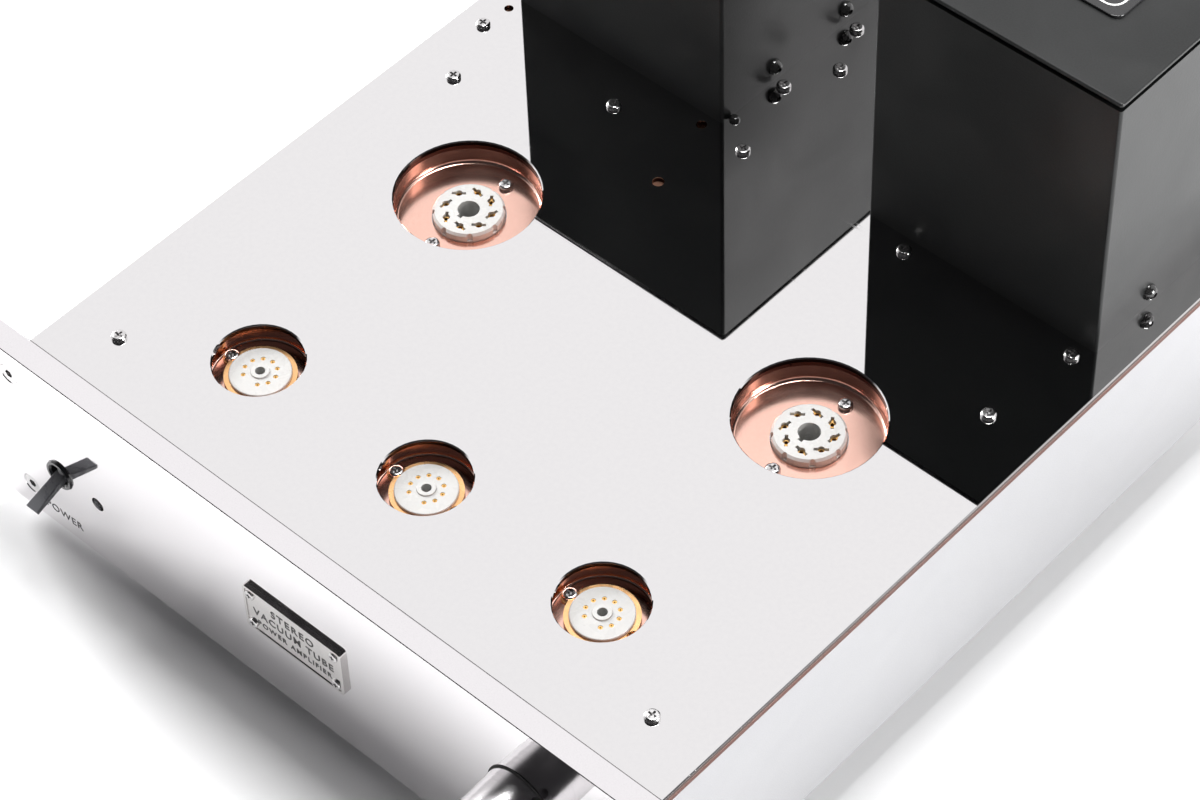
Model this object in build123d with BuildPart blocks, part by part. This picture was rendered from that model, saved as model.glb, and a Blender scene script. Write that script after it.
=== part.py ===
"""Tube power amplifier: mirror deck on a copper chassis, thick front panel, sunk tube sockets,
two covered transformers.  Millimetres, +Z up, +X to the right seen from the front, front faces -Y.
The origin is on the bench, under the middle of the overall box."""

import os
from math import cos, radians, sin

from build123d import *

os.makedirs("parts", exist_ok=True)

# ---------------------------------------------------------------- driving dimensions
DECK_TOP = 94.0          # polished deck above the bench
DECK_T = 2.0             # mirror deck sheet
COPPER_T = 2.0           # copper chassis sheet under it
HALF_W = 145.9           # half width of deck and chassis
FRONT = -168.5           # Y of the deck's front edge (back face of the front panel)
DEPTH = 350.0            # deck depth
REAR = FRONT + DEPTH
SIDE_T = 3.0             # side panel thickness
SIDE_BOTTOM = -71.6      # side panel lower edge, from the deck top
BOTTOM_T = 2.0
REAR_T = 2.5

PANEL_HALF_W = 168.0     # thick front panel
PANEL_H = 85.0
PANEL_T = 9.2
PANEL_R = 6.0
SUB_HALF_W = 156.0       # sub panel behind it
SUB_T = 3.0
SUB_BOTTOM = -78.0

OCTAL_XY = [(-79.3, FRONT + 149.1), (79.3, FRONT + 149.1)]
OCTAL_HOLE_R = 26.5
OCTAL_FLOOR = -10.8      # well floor, from the deck top
OCTAL_BOSS = -7.4        # top of the socket boss
OCTAL_SCREW = 19.0       # socket screws, front and back of the socket centre
NOVAL_XY = [(-79.3, FRONT + 45.5), (0.0, FRONT + 45.5), (79.3, FRONT + 45.5)]
NOVAL_HOLE_R = 16.2
NOVAL_WELL_R = 18.5
NOVAL_FLOOR = -9.9
NOVAL_LIFT = 1.1         # socket height over its drawing levels
RIM_CHAMFER = 0.4        # polished edge round the well holes
NOVAL_SCREW = 14.3       # socket screws, left and right of the socket centre
WELL_T = 1.2

DECK_SCREWS = [
    (-123.1, 21.2), (122.2, 21.9), (-124.0, 188.6), (124.0, 188.9), (-134.8, 215.7), (-69.7, 215.8),
    (-19.5, 229.0), (55.1, 228.5), (128.7, 228.1), (-29.6, 263.3), (-28.7, 303.5), (-19.7, 283.2),
]
DECK_HOLES = [((-133.7, 228.4), 1.75), ((-32.3, 197.9), 2.25), ((-39.5, 229.4), 2.0)]

COVER_X = 84.15          # transformer cover centre, either side
COVER_W = 99.9
COVER_D = 97.6
COVER_Y = FRONT + 283.3
COVER_H = 118.0
COVER_R = 1.2            # outer corner radius of the cover walls
COVER_WALL = 1.5
LID_T = 1.2
LID_GAP = 2.0
CORE_W, CORE_H, STACK = 84.0, 70.0, 44.0
LEG = 28.0               # centre leg of the lamination

KNOB_X, KNOB_Z = 92.0, -40.0
KNOB_R_BASE, KNOB_R_TIP, KNOB_L = 13.5, 12.8, 27.1
SHAFT_R = 3.0
SWITCH_X, SWITCH_Z = -130.3, -51.9
LEVER_TILT = 19.5        # lever rests this far below level
LEVER_L = 18.9
BEZEL_T = 0.9
LAMP_X, LAMP_Z = -111.0, -52.9
PLATE_X, PLATE_Z = -11.0, -42.5
PLATE_T, PLATE_RECESS = 1.75, 0.3
BOLTS_XZ = [(-149.0, -12.2), (149.0, -12.2), (-149.0, -71.6), (149.0, -71.6)]

POSTS_X = {"red": 60.0, "black": 82.0}
POST_Z = -38.0
INLET_X, INLET_Z = -95.0, -38.0
JACK_X, JACK_Z = 20.0, -38.0
FEET_XY = [(-112.0, FRONT + 40.0), (112.0, FRONT + 40.0), (-112.0, FRONT + 310.0), (112.0, FRONT + 310.0)]
FOOT_R = 19.0
PAD_H = 4.0


def z(level):
    """Height above the bench of a level counted from the deck top."""
    return DECK_TOP + level


def save(builder, label):
    """Label the finished piece and write its STEP."""
    builder.part.label = label
    export_step(builder.part, f"parts/{label}.step")


FACE = FRONT - PANEL_T   # Y of the front panel's face
front_face = Plane(origin=(0, FACE, z(0)), x_dir=(1, 0, 0), z_dir=(0, -1, 0))
sub_face = Plane(origin=(0, FRONT, z(0)), x_dir=(1, 0, 0), z_dir=(0, -1, 0))
rear_face = Plane(origin=(0, REAR, z(0)), x_dir=(-1, 0, 0), z_dir=(0, 1, 0))


def at(plane, x, level, out=0.0):
    """The plane moved to x and a level from the deck top, and out along its own normal."""
    o = plane.origin
    return Plane(origin=(x, o.Y + plane.z_dir.Y * out, z(level)), x_dir=plane.x_dir, z_dir=plane.z_dir)


# ---------------------------------------------------------------- fasteners in their own frames
def phillips_screw(head_r, head_h, shank_r, shank_l):
    """Pan-head cross-recess screw, seat of the head at Z0, head up."""
    with BuildPart() as screw:
        with BuildSketch(Plane.XY):
            Circle(head_r)
        extrude(amount=head_h)
        fillet(screw.edges().group_by(Axis.Z)[-1], head_h * 0.55)
        with BuildSketch(Plane.XY.offset(head_h)):
            Rectangle(head_r * 1.15, head_r * 0.3)
            Rectangle(head_r * 0.3, head_r * 1.15)
        extrude(amount=-head_h * 0.6, mode=Mode.SUBTRACT)
        with BuildSketch(Plane.XY):
            Circle(shank_r)
        extrude(amount=-shank_l)
    return screw.part


def dome_screw(head_r, head_h, shank_r, shank_l):
    """Round dome-head screw with a hexagon socket, seat of the head at Z0."""
    with BuildPart() as screw:
        with BuildSketch(Plane.XZ):
            with BuildLine():
                rise = (head_r**2 + head_h**2) / (2 * head_h)
                Line((0, -shank_l), (shank_r, -shank_l))
                Line((shank_r, -shank_l), (shank_r, 0))
                Line((shank_r, 0), (head_r, 0))
                RadiusArc((head_r, 0), (0, head_h), -rise)
                Line((0, head_h), (0, -shank_l))
            make_face()
        revolve(axis=Axis.Z)
        with BuildSketch(Plane.XY.offset(head_h)):
            RegularPolygon(head_r * 0.34, 6)
        extrude(amount=-head_h * 0.6, mode=Mode.SUBTRACT)
    return screw.part


def countersunk_bolt(head_r, shank_r, length):
    """Flat-head hexagon-socket bolt, flat of the head at Z0, shank down."""
    with BuildPart() as bolt:
        with BuildSketch(Plane.XZ):
            with BuildLine():
                Polyline(
                    (0, 0), (head_r, 0), (shank_r, shank_r - head_r), (shank_r, -length), (0, -length),
                    close=True,
                )
            make_face()
        revolve(axis=Axis.Z)
        with BuildSketch(Plane.XY):
            RegularPolygon(1.75, 6)
        extrude(amount=-2.2, mode=Mode.SUBTRACT)
    return bolt.part


# ---------------------------------------------------------------- deck and copper chassis
wire_holes = [(s * COVER_X, COVER_Y + dy) for s in (-1, 1) for dy in (-41.0, 41.0)]
deck_screw_xy = [(x, FRONT + y) for x, y in DECK_SCREWS]

with BuildPart() as top_plate:
    with BuildSketch(Plane.XY.offset(z(-DECK_T))):
        with Locations((0, FRONT + DEPTH / 2)):
            Rectangle(2 * HALF_W, DEPTH)
        with Locations(*OCTAL_XY):
            Circle(OCTAL_HOLE_R, mode=Mode.SUBTRACT)
        with Locations(*NOVAL_XY):
            Circle(NOVAL_HOLE_R, mode=Mode.SUBTRACT)
        with Locations(*deck_screw_xy):
            Circle(1.7, mode=Mode.SUBTRACT)
        with Locations(*wire_holes):
            Circle(5.0, mode=Mode.SUBTRACT)
        for (hx, hy), hr in DECK_HOLES:
            with Locations((hx, FRONT + hy)):
                Circle(hr, mode=Mode.SUBTRACT)
    extrude(amount=DECK_T)
    chamfer(top_plate.faces().sort_by(Axis.Z)[-1].outer_wire().edges(), 0.4)
    rims = top_plate.edges().filter_by(GeomType.CIRCLE).group_by(Axis.Z)[-1]
    chamfer([e for e in rims if e.radius > 10], RIM_CHAMFER)
save(top_plate, "top_plate")

with BuildPart() as copper_chassis:
    with BuildSketch(Plane.XY.offset(z(-DECK_T - COPPER_T))):
        with Locations((0, FRONT + DEPTH / 2)):
            Rectangle(2 * HALF_W, DEPTH)
        with Locations(*OCTAL_XY):
            Circle(OCTAL_HOLE_R + 0.3, mode=Mode.SUBTRACT)
        with Locations(*NOVAL_XY):
            Circle(NOVAL_WELL_R, mode=Mode.SUBTRACT)
        with Locations(*deck_screw_xy):
            Circle(1.6, mode=Mode.SUBTRACT)
        with Locations(*wire_holes):
            Circle(4.0, mode=Mode.SUBTRACT)
    extrude(amount=COPPER_T)
save(copper_chassis, "copper_chassis")

deck_screw = phillips_screw(2.75, 1.7, 1.5, 7.0)
with BuildPart() as top_plate_screws:
    with Locations(*[(x, y, z(0)) for x, y in deck_screw_xy]):
        add(deck_screw)
save(top_plate_screws, "top_plate_screws")


# ---------------------------------------------------------------- wells sunk under the deck
def well(x, y, inner_r, floor, corner_r, socket_r, screw_dx, screw_dy):
    """Pressed copper cup: flange under the chassis sheet, filleted wall, pierced floor."""
    rim = -DECK_T - COPPER_T
    with BuildPart() as cup:
        with BuildSketch(Plane.XZ):
            with BuildLine():
                Polyline(
                    (0, floor - WELL_T), (inner_r + WELL_T, floor - WELL_T),
                    (inner_r + WELL_T, rim - WELL_T), (inner_r + 6, rim - WELL_T),
                    (inner_r + 6, rim), (inner_r, rim), (inner_r, floor), (0, floor), close=True,
                )
            make_face()
        revolve(axis=Axis.Z)
        inner = cup.edges().filter_by(GeomType.CIRCLE)
        inner = [e for e in inner if abs(e.radius - inner_r) < 0.01 and abs(e.center().Z - floor) < 0.01]
        fillet(inner, corner_r)
        with BuildSketch(Plane.XY.offset(floor - WELL_T)):
            Circle(socket_r)
            with Locations((screw_dx, screw_dy), (-screw_dx, -screw_dy)):
                Circle(1.6)
        extrude(amount=WELL_T, mode=Mode.SUBTRACT)
    with BuildPart() as placed:
        with Locations((x, y, z(0))):
            add(cup.part)
    return placed


for side, (wx, wy) in zip(("left", "right"), OCTAL_XY):
    octal_well = well(wx, wy, OCTAL_HOLE_R + 0.3, OCTAL_FLOOR, 1.6, 13.4, 0, OCTAL_SCREW)
    save(octal_well, f"octal_well_{side}")
for side, (wx, wy) in zip(("left", "centre", "right"), NOVAL_XY):
    noval_well = well(wx, wy, NOVAL_WELL_R, NOVAL_FLOOR, 1.2, 9.9, NOVAL_SCREW, 0)
    save(noval_well, f"noval_well_{side}")

# ---------------------------------------------------------------- octal sockets
PIN_CIRCLE = 17.45
KEY_ANGLE = 270.0
SLOT_TURN = -30.0        # slots lie across the pin circle's tangent by this much
octal_slots = PolarLocations(PIN_CIRCLE / 2, 8, start_angle=22.5)

with BuildPart() as octal_body:
    with BuildSketch(Plane.XY.offset(-27)):
        Circle(13.0)
    extrude(amount=27 + OCTAL_BOSS)
    chamfer(octal_body.edges().group_by(Axis.Z)[-1], 0.8)
    with BuildSketch(Plane.XY.offset(OCTAL_FLOOR - WELL_T - 1.2 - 4.0)):
        Circle(15.5)
    extrude(amount=4.0)
    with BuildSketch(Plane.XY.offset(-27)):
        Circle(4.0)
        with Locations((3.9 * cos(radians(KEY_ANGLE)), 3.9 * sin(radians(KEY_ANGLE)))):
            Rectangle(2.6, 1.9, rotation=KEY_ANGLE)
        with octal_slots:
            Circle(1.35)
    extrude(amount=28 + OCTAL_BOSS, mode=Mode.SUBTRACT)
    with BuildSketch(Plane.XY.offset(OCTAL_BOSS)):
        with octal_slots:
            Rectangle(1.2, 5.2, rotation=SLOT_TURN)
    extrude(amount=-3.6, mode=Mode.SUBTRACT)
    with BuildSketch(Plane.XY.offset(OCTAL_BOSS)):
        with PolarLocations(13.2, 8, start_angle=0):
            Circle(1.1)
    extrude(amount=-3.0, mode=Mode.SUBTRACT)

for side, (sx, sy) in zip(("left", "right"), OCTAL_XY):
    with BuildPart() as octal_socket:
        with Locations((sx, sy, z(0))):
            add(octal_body.part)
    save(octal_socket, f"octal_socket_{side}")

with BuildPart() as octal_contact:
    with BuildSketch(Plane.XY.offset(-17)):
        Circle(1.2)
    extrude(amount=17 + OCTAL_BOSS - 1.2)
    with BuildSketch(Plane.XY.offset(-16)):
        Circle(0.75)
    extrude(amount=12, mode=Mode.SUBTRACT)
    with BuildSketch(Plane.XY.offset(OCTAL_BOSS - 3.4)):
        with Locations((1.65 * sin(radians(-SLOT_TURN)), 1.65 * cos(radians(SLOT_TURN)))):
            Rectangle(0.7, 1.6, rotation=SLOT_TURN)
    extrude(amount=2.4)
    with BuildSketch(Plane.XY.offset(-33)):
        Rectangle(0.6, 2.0)
    extrude(amount=16.5)
octal_contact_at = [
    Location((sx + PIN_CIRCLE / 2 * cos(radians(a)), sy + PIN_CIRCLE / 2 * sin(radians(a)), z(0)), (0, 0, a))
    for sx, sy in OCTAL_XY
    for a in [22.5 + 45 * i for i in range(8)]
]
with BuildPart() as octal_contacts:
    with Locations(*octal_contact_at):
        add(octal_contact.part)
save(octal_contacts, "octal_contacts")

with BuildPart() as octal_saddles:
    for sx, sy in OCTAL_XY:
        with BuildSketch(Plane.XY.offset(z(OCTAL_FLOOR - WELL_T - 1.2))):
            with Locations((sx, sy)):
                Circle(17.5)
                SlotOverall(48, 10, rotation=90)
                Circle(13.2, mode=Mode.SUBTRACT)
            with Locations((sx, sy - OCTAL_SCREW), (sx, sy + OCTAL_SCREW)):
                Circle(1.6, mode=Mode.SUBTRACT)
        extrude(amount=1.2)
save(octal_saddles, "octal_saddles")

# ---------------------------------------------------------------- nine-pin sockets
NOVAL_PINS = 11.89
noval_angles = [-90 + 36 * i for i in range(1, 10)]
noval_pin_xy = [(NOVAL_PINS / 2 * cos(radians(a)), NOVAL_PINS / 2 * sin(radians(a))) for a in noval_angles]

with BuildPart() as noval_body:
    with BuildSketch(Plane.XY.offset(-22)):
        Circle(9.6)
    extrude(amount=22 - 8.2)
    with BuildSketch(Plane.XY.offset(-8.2)):
        Circle(11.0)
    extrude(amount=1.2)
    fillet(noval_body.edges().group_by(Axis.Z)[-1], 0.45)
    with BuildSketch(Plane.XY.offset(-7.0)):
        Circle(3.5)
    extrude(amount=0.5, taper=30)
    with BuildSketch(Plane.XY.offset(-6.4)):
        Circle(1.8)
    extrude(amount=-17.0, mode=Mode.SUBTRACT)
    with BuildSketch(Plane.XY.offset(-22)):
        with Locations(*noval_pin_xy):
            Circle(0.85)
    extrude(amount=16, mode=Mode.SUBTRACT)

for side, (sx, sy) in zip(("left", "centre", "right"), NOVAL_XY):
    with BuildPart() as noval_socket:
        with Locations((sx, sy, z(NOVAL_LIFT))):
            add(noval_body.part)
    save(noval_socket, f"noval_socket_{side}")

with BuildPart() as noval_contact:
    with BuildSketch(Plane.XY.offset(-14)):
        Circle(0.8)
    extrude(amount=6.8)
    with BuildSketch(Plane.XY.offset(-13)):
        Circle(0.3)
    extrude(amount=6, mode=Mode.SUBTRACT)
    with BuildSketch(Plane.XY.offset(-27)):
        Rectangle(0.5, 1.3)
    extrude(amount=13.2)
with BuildPart() as noval_contacts:
    with Locations(*[(sx + px, sy + py, z(NOVAL_LIFT)) for sx, sy in NOVAL_XY for px, py in noval_pin_xy]):
        add(noval_contact.part)
save(noval_contacts, "noval_contacts")

with BuildPart() as noval_saddles:
    for sx, sy in NOVAL_XY:
        with BuildSketch(Plane.XY.offset(z(NOVAL_FLOOR))):
            with Locations((sx, sy)):
                Circle(12.8)
                Circle(9.8, mode=Mode.SUBTRACT)
            with Locations((sx - NOVAL_SCREW, sy), (sx + NOVAL_SCREW, sy)):
                Circle(3.1, mode=Mode.SUBTRACT)
        extrude(amount=2.8)
        with BuildSketch(Plane.XY.offset(z(NOVAL_FLOOR))):
            with Locations((sx, sy)):
                Circle(12.8)
            with Locations((sx - NOVAL_SCREW, sy), (sx + NOVAL_SCREW, sy)):
                Circle(3.2)
            with Locations((sx, sy)):
                Circle(9.8, mode=Mode.SUBTRACT)
            with Locations((sx - NOVAL_SCREW, sy), (sx + NOVAL_SCREW, sy)):
                Circle(1.6, mode=Mode.SUBTRACT)
        extrude(amount=0.8)
save(noval_saddles, "noval_saddles")

small_screw = phillips_screw(2.7, 1.8, 1.5, 6.0)
octal_screw_at = [(x, y + d, z(OCTAL_FLOOR)) for x, y in OCTAL_XY for d in (-OCTAL_SCREW, OCTAL_SCREW)]
noval_screw_at = [(x + d, y, z(NOVAL_FLOOR + 0.8)) for x, y in NOVAL_XY for d in (-NOVAL_SCREW, NOVAL_SCREW)]
with BuildPart() as socket_screws:
    with Locations(*octal_screw_at, *noval_screw_at):
        add(small_screw)
save(socket_screws, "socket_screws")

# ---------------------------------------------------------------- front panel group
with BuildPart() as front_panel:
    with BuildSketch(at(sub_face, 0, -PANEL_H / 2)):
        RectangleRounded(2 * PANEL_HALF_W, PANEL_H, PANEL_R)
    extrude(amount=PANEL_T)
    chamfer(front_panel.faces().sort_by(Axis.Y)[0].outer_wire().edges(), 0.25)
    for bx, bz in BOLTS_XZ:
        with Locations(at(front_face, bx, bz)):
            CounterSinkHole(2.6, 4.4, depth=PANEL_T, counter_sink_angle=90)
    with BuildSketch(at(front_face, SWITCH_X, SWITCH_Z)):
        Circle(5.4)
    extrude(amount=-PANEL_T, mode=Mode.SUBTRACT)
    with BuildSketch(at(front_face, LAMP_X, LAMP_Z)):
        Circle(2.9)
    extrude(amount=-PANEL_T, mode=Mode.SUBTRACT)
    with BuildSketch(at(front_face, KNOB_X, KNOB_Z)):
        Circle(4.2)
    extrude(amount=-PANEL_T, mode=Mode.SUBTRACT)
    with BuildSketch(at(sub_face, KNOB_X, KNOB_Z)):
        Circle(8.5)
    extrude(amount=5.0, mode=Mode.SUBTRACT)
    with BuildSketch(at(front_face, PLATE_X, PLATE_Z)):
        with GridLocations(39.6, 15.0, 2, 2):
            Circle(0.8)
    extrude(amount=-4.0, mode=Mode.SUBTRACT)
save(front_panel, "front_panel")

with BuildPart() as front_subpanel:
    with BuildSketch(at(sub_face, 0, (SUB_BOTTOM - 4.4) / 2)):
        RectangleRounded(2 * SUB_HALF_W, -4.4 - SUB_BOTTOM, 4.0)
    extrude(amount=-SUB_T)
    for bx, bz in BOLTS_XZ:
        with BuildSketch(at(sub_face, bx, bz)):
            Circle(2.3)
        extrude(amount=-SUB_T, mode=Mode.SUBTRACT)
    for hx, hz, hr in ((SWITCH_X, SWITCH_Z, 5.4), (LAMP_X, LAMP_Z, 2.9), (KNOB_X, KNOB_Z, 3.8)):
        with BuildSketch(at(sub_face, hx, hz)):
            Circle(hr)
        extrude(amount=-SUB_T, mode=Mode.SUBTRACT)
save(front_subpanel, "front_subpanel")

panel_bolt = countersunk_bolt(4.0, 2.2, 12.0)
with BuildPart() as panel_bolts:
    with Locations(*[at(front_face, bx, bz, -0.3).location for bx, bz in BOLTS_XZ]):
        add(panel_bolt)
save(panel_bolts, "panel_bolts")

with BuildPart() as nameplate:
    with BuildSketch(at(front_face, PLATE_X, PLATE_Z)):
        RectangleRounded(46.6, 22.4, 1.6)
    extrude(amount=PLATE_T)
    chamfer(nameplate.faces().sort_by(Axis.Y)[0].outer_wire().edges(), 0.2)
    with BuildSketch(at(front_face, PLATE_X, PLATE_Z, PLATE_T)):
        RectangleRounded(44.2, 20.0, 0.8)
    extrude(amount=-PLATE_RECESS, mode=Mode.SUBTRACT)
    with BuildSketch(at(front_face, PLATE_X, PLATE_Z)):
        with GridLocations(39.6, 15.0, 2, 2):
            Circle(0.85)
    extrude(amount=4.0, mode=Mode.SUBTRACT)
save(nameplate, "nameplate")

plate_screw = phillips_screw(2.0, 0.8, 0.75, 5.0)
plate_screw_at = at(front_face, PLATE_X, PLATE_Z, PLATE_T - PLATE_RECESS)
with BuildPart() as nameplate_screws:
    with Locations(plate_screw_at):
        with GridLocations(39.6, 15.0, 2, 2):
            add(plate_screw)
save(nameplate_screws, "nameplate_screws")

with BuildPart() as pilot_lamp:
    lamp_base = at(front_face, LAMP_X, LAMP_Z, -13.0)
    with BuildSketch(lamp_base):
        Circle(2.6)
    extrude(amount=11.6)
    fillet(pilot_lamp.edges().sort_by(Axis.Y)[0], 1.6)
    with BuildSketch(at(front_face, LAMP_X, LAMP_Z, -PANEL_T - SUB_T - 3.0)):
        Circle(3.6)
    extrude(amount=3.0)
save(pilot_lamp, "pilot_lamp")

# ---------------------------------------------------------------- power switch
with BuildPart() as switch_bezel:
    with BuildSketch(at(front_face, SWITCH_X, SWITCH_Z)):
        Circle(6.4)
    with BuildSketch(at(front_face, SWITCH_X, SWITCH_Z, BEZEL_T)):
        Circle(6.0)
    loft()
    with BuildSketch(at(front_face, SWITCH_X, SWITCH_Z)):
        Circle(4.4)
    with BuildSketch(at(front_face, SWITCH_X, SWITCH_Z, BEZEL_T)):
        Circle(5.0)
    loft(mode=Mode.SUBTRACT)
save(switch_bezel, "switch_bezel")

PIVOT_IN = 3.5           # lever pivot behind the panel face
with BuildPart() as switch_body:
    with BuildSketch(at(front_face, SWITCH_X, SWITCH_Z)):
        Circle(5.2)
    extrude(amount=-PANEL_T - SUB_T)
    with BuildSketch(at(front_face, SWITCH_X, SWITCH_Z, -PANEL_T - SUB_T)):
        RectangleRounded(22, 30, 1.0)
    extrude(amount=-18)
    with BuildSketch(at(front_face, SWITCH_X, SWITCH_Z)):
        Circle(4.4)
    extrude(amount=-10, mode=Mode.SUBTRACT)
    with BuildSketch(Plane(origin=(SWITCH_X, FACE + PIVOT_IN, z(SWITCH_Z)), z_dir=(1, 0, 0))):
        Circle(0.8)
    extrude(amount=4.9, both=True, mode=Mode.SUBTRACT)
    with BuildSketch(at(front_face, SWITCH_X, SWITCH_Z, -PANEL_T - SUB_T - 18)):
        with GridLocations(10, 9, 2, 2):
            Rectangle(1.0, 4.0)
    extrude(amount=-7)
save(switch_body, "switch_body")

tilt = radians(LEVER_TILT)
lever_plane = Plane(
    origin=(SWITCH_X, FACE + PIVOT_IN, z(SWITCH_Z)), x_dir=(1, 0, 0), z_dir=(0, -cos(tilt), -sin(tilt))
)
with BuildPart() as switch_lever:
    with BuildSketch(lever_plane.offset(1.0)):
        RectangleRounded(4.4, 3.6, 0.5)
    with BuildSketch(lever_plane.offset(LEVER_L)):
        RectangleRounded(5.9, 1.7, 0.5)
    loft()
    fillet(switch_lever.faces().sort_by(Axis.Y)[0].edges(), 0.35)
    with Locations(lever_plane):
        Sphere(3.5)
    with BuildSketch(Plane(origin=(SWITCH_X, FACE + PIVOT_IN, z(SWITCH_Z)), z_dir=(1, 0, 0))):
        Circle(0.75)
    extrude(amount=4.7, both=True)
save(switch_lever, "switch_lever")

# ---------------------------------------------------------------- volume control
with BuildPart() as knob_washer:
    with BuildSketch(at(front_face, KNOB_X, KNOB_Z)):
        Circle(14.2)
        Circle(4.4, mode=Mode.SUBTRACT)
    extrude(amount=0.25)
save(knob_washer, "knob_washer")

KNOB_GAP = 0.65          # knob base in front of the panel face
knob_plane = at(front_face, KNOB_X, KNOB_Z, KNOB_GAP)
with BuildPart() as volume_knob:
    with BuildSketch(knob_plane):
        Circle(KNOB_R_BASE)
    with BuildSketch(knob_plane.offset(KNOB_L)):
        Circle(KNOB_R_TIP)
    loft()
    chamfer(volume_knob.edges().filter_by(GeomType.CIRCLE).sort_by(Axis.Y)[0], 0.9)
    with BuildSketch(knob_plane.offset(KNOB_L)):
        Circle(10.4)
    extrude(amount=-0.6, mode=Mode.SUBTRACT)
    with BuildSketch(knob_plane):
        Circle(SHAFT_R + 0.04)
    extrude(amount=16, mode=Mode.SUBTRACT)
    with BuildSketch(knob_plane.offset(KNOB_L)):
        with Locations((-8.2 * sin(radians(30)), -8.2 * cos(radians(30)))):
            Rectangle(1.2, 6.0, rotation=-30)
    extrude(amount=-1.2, mode=Mode.SUBTRACT)
    grub = Plane(
        origin=(KNOB_X + 16 * cos(radians(47)), FACE - KNOB_GAP - 1.4, z(KNOB_Z) + 16 * sin(radians(47))),
        z_dir=(-cos(radians(47)), 0, -sin(radians(47))),
    )
    with BuildSketch(grub):
        Circle(1.6)
    extrude(amount=6.5, mode=Mode.SUBTRACT)
save(volume_knob, "volume_knob")

with BuildPart() as potentiometer_shaft:
    with BuildSketch(at(front_face, KNOB_X, KNOB_Z, KNOB_GAP + 15.5)):
        Circle(SHAFT_R)
    extrude(amount=-(KNOB_GAP + 15.5 + PANEL_T + SUB_T + 8))
save(potentiometer_shaft, "potentiometer_shaft")

with BuildPart() as potentiometer_body:
    with BuildSketch(at(sub_face, KNOB_X, KNOB_Z, -SUB_T)):
        Circle(12.0)
    extrude(amount=-11)
    with BuildSketch(at(sub_face, KNOB_X, KNOB_Z, -SUB_T)):
        Circle(3.7)
    extrude(amount=SUB_T + 4.2)
    with BuildSketch(at(sub_face, KNOB_X, KNOB_Z)):
        RegularPolygon(6.2, 6)
    extrude(amount=2.4)
    with BuildSketch(at(sub_face, KNOB_X, KNOB_Z, 4.2)):
        Circle(SHAFT_R + 0.05)
    extrude(amount=-4.2 - SUB_T - 8.2, mode=Mode.SUBTRACT)
    with BuildSketch(at(sub_face, KNOB_X, KNOB_Z - 11, -SUB_T - 4)):
        with GridLocations(5, 1, 3, 1):
            Rectangle(1.2, 10)
    extrude(amount=-0.8)
save(potentiometer_body, "potentiometer_body")

# ---------------------------------------------------------------- sides, bottom, feet
for side, sx in (("left", -1), ("right", 1)):
    with BuildPart() as side_panel:
        with BuildSketch(Plane.XY.offset(z(SIDE_BOTTOM))):
            with Locations((sx * (HALF_W - SIDE_T / 2), (FRONT + SUB_T + REAR) / 2)):
                Rectangle(SIDE_T, DEPTH - SUB_T)
        extrude(amount=-DECK_T - COPPER_T - SIDE_BOTTOM)
    save(side_panel, f"side_panel_{side}")

with BuildPart() as bottom_plate:
    with BuildSketch(Plane.XY.offset(z(SIDE_BOTTOM - BOTTOM_T))):
        with Locations((0, (FRONT + SUB_T + REAR) / 2)):
            Rectangle(2 * HALF_W, DEPTH - SUB_T)
            with GridLocations(0, 9, 1, 12):
                SlotOverall(90, 3.5, mode=Mode.SUBTRACT)
        with Locations(*FEET_XY):
            Circle(2.2, mode=Mode.SUBTRACT)
    extrude(amount=BOTTOM_T)
save(bottom_plate, "bottom_plate")

with BuildPart() as feet:
    for fx, fy in FEET_XY:
        with BuildSketch(Plane.XY.offset(PAD_H - 1.0)):
            with Locations((fx, fy)):
                Circle(FOOT_R)
        extrude(amount=z(SIDE_BOTTOM - BOTTOM_T) - PAD_H + 1.0)
    chamfer(feet.edges().group_by(Axis.Z)[0], 1.0)
    for fx, fy in FEET_XY:
        with BuildSketch(Plane.XY.offset(PAD_H - 1.0)):
            with Locations((fx, fy)):
                Circle(FOOT_R - 4)
        extrude(amount=1.0, mode=Mode.SUBTRACT)
        with BuildSketch(Plane.XY.offset(z(SIDE_BOTTOM - BOTTOM_T))):
            with Locations((fx, fy)):
                Circle(2.0)
        extrude(amount=BOTTOM_T + 3.0)
save(feet, "feet")

with BuildPart() as foot_pads:
    for fx, fy in FEET_XY:
        with BuildSketch(Plane.XY):
            with Locations((fx, fy)):
                Circle(FOOT_R - 4)
        extrude(amount=PAD_H)
    chamfer(foot_pads.edges().group_by(Axis.Z)[0], 0.8)
save(foot_pads, "foot_pads")

# ---------------------------------------------------------------- rear panel and connectors
with BuildPart() as rear_panel:
    with BuildSketch(at(rear_face, 0, (SIDE_BOTTOM - DECK_T - COPPER_T) / 2)):
        Rectangle(2 * (HALF_W - SIDE_T), -DECK_T - COPPER_T - SIDE_BOTTOM)
    extrude(amount=-REAR_T)
    with BuildSketch(at(rear_face, INLET_X, INLET_Z)):
        Rectangle(28.4, 32.4)
        with GridLocations(40, 0, 2, 1):
            Circle(1.7)
    extrude(amount=-REAR_T, mode=Mode.SUBTRACT)
    with BuildSketch(at(rear_face, JACK_X, JACK_Z)):
        Circle(4.2)
    extrude(amount=-REAR_T, mode=Mode.SUBTRACT)
    for px in POSTS_X.values():
        with BuildSketch(at(rear_face, px, POST_Z)):
            Circle(4.2)
        extrude(amount=-REAR_T, mode=Mode.SUBTRACT)
save(rear_panel, "rear_panel")

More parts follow.
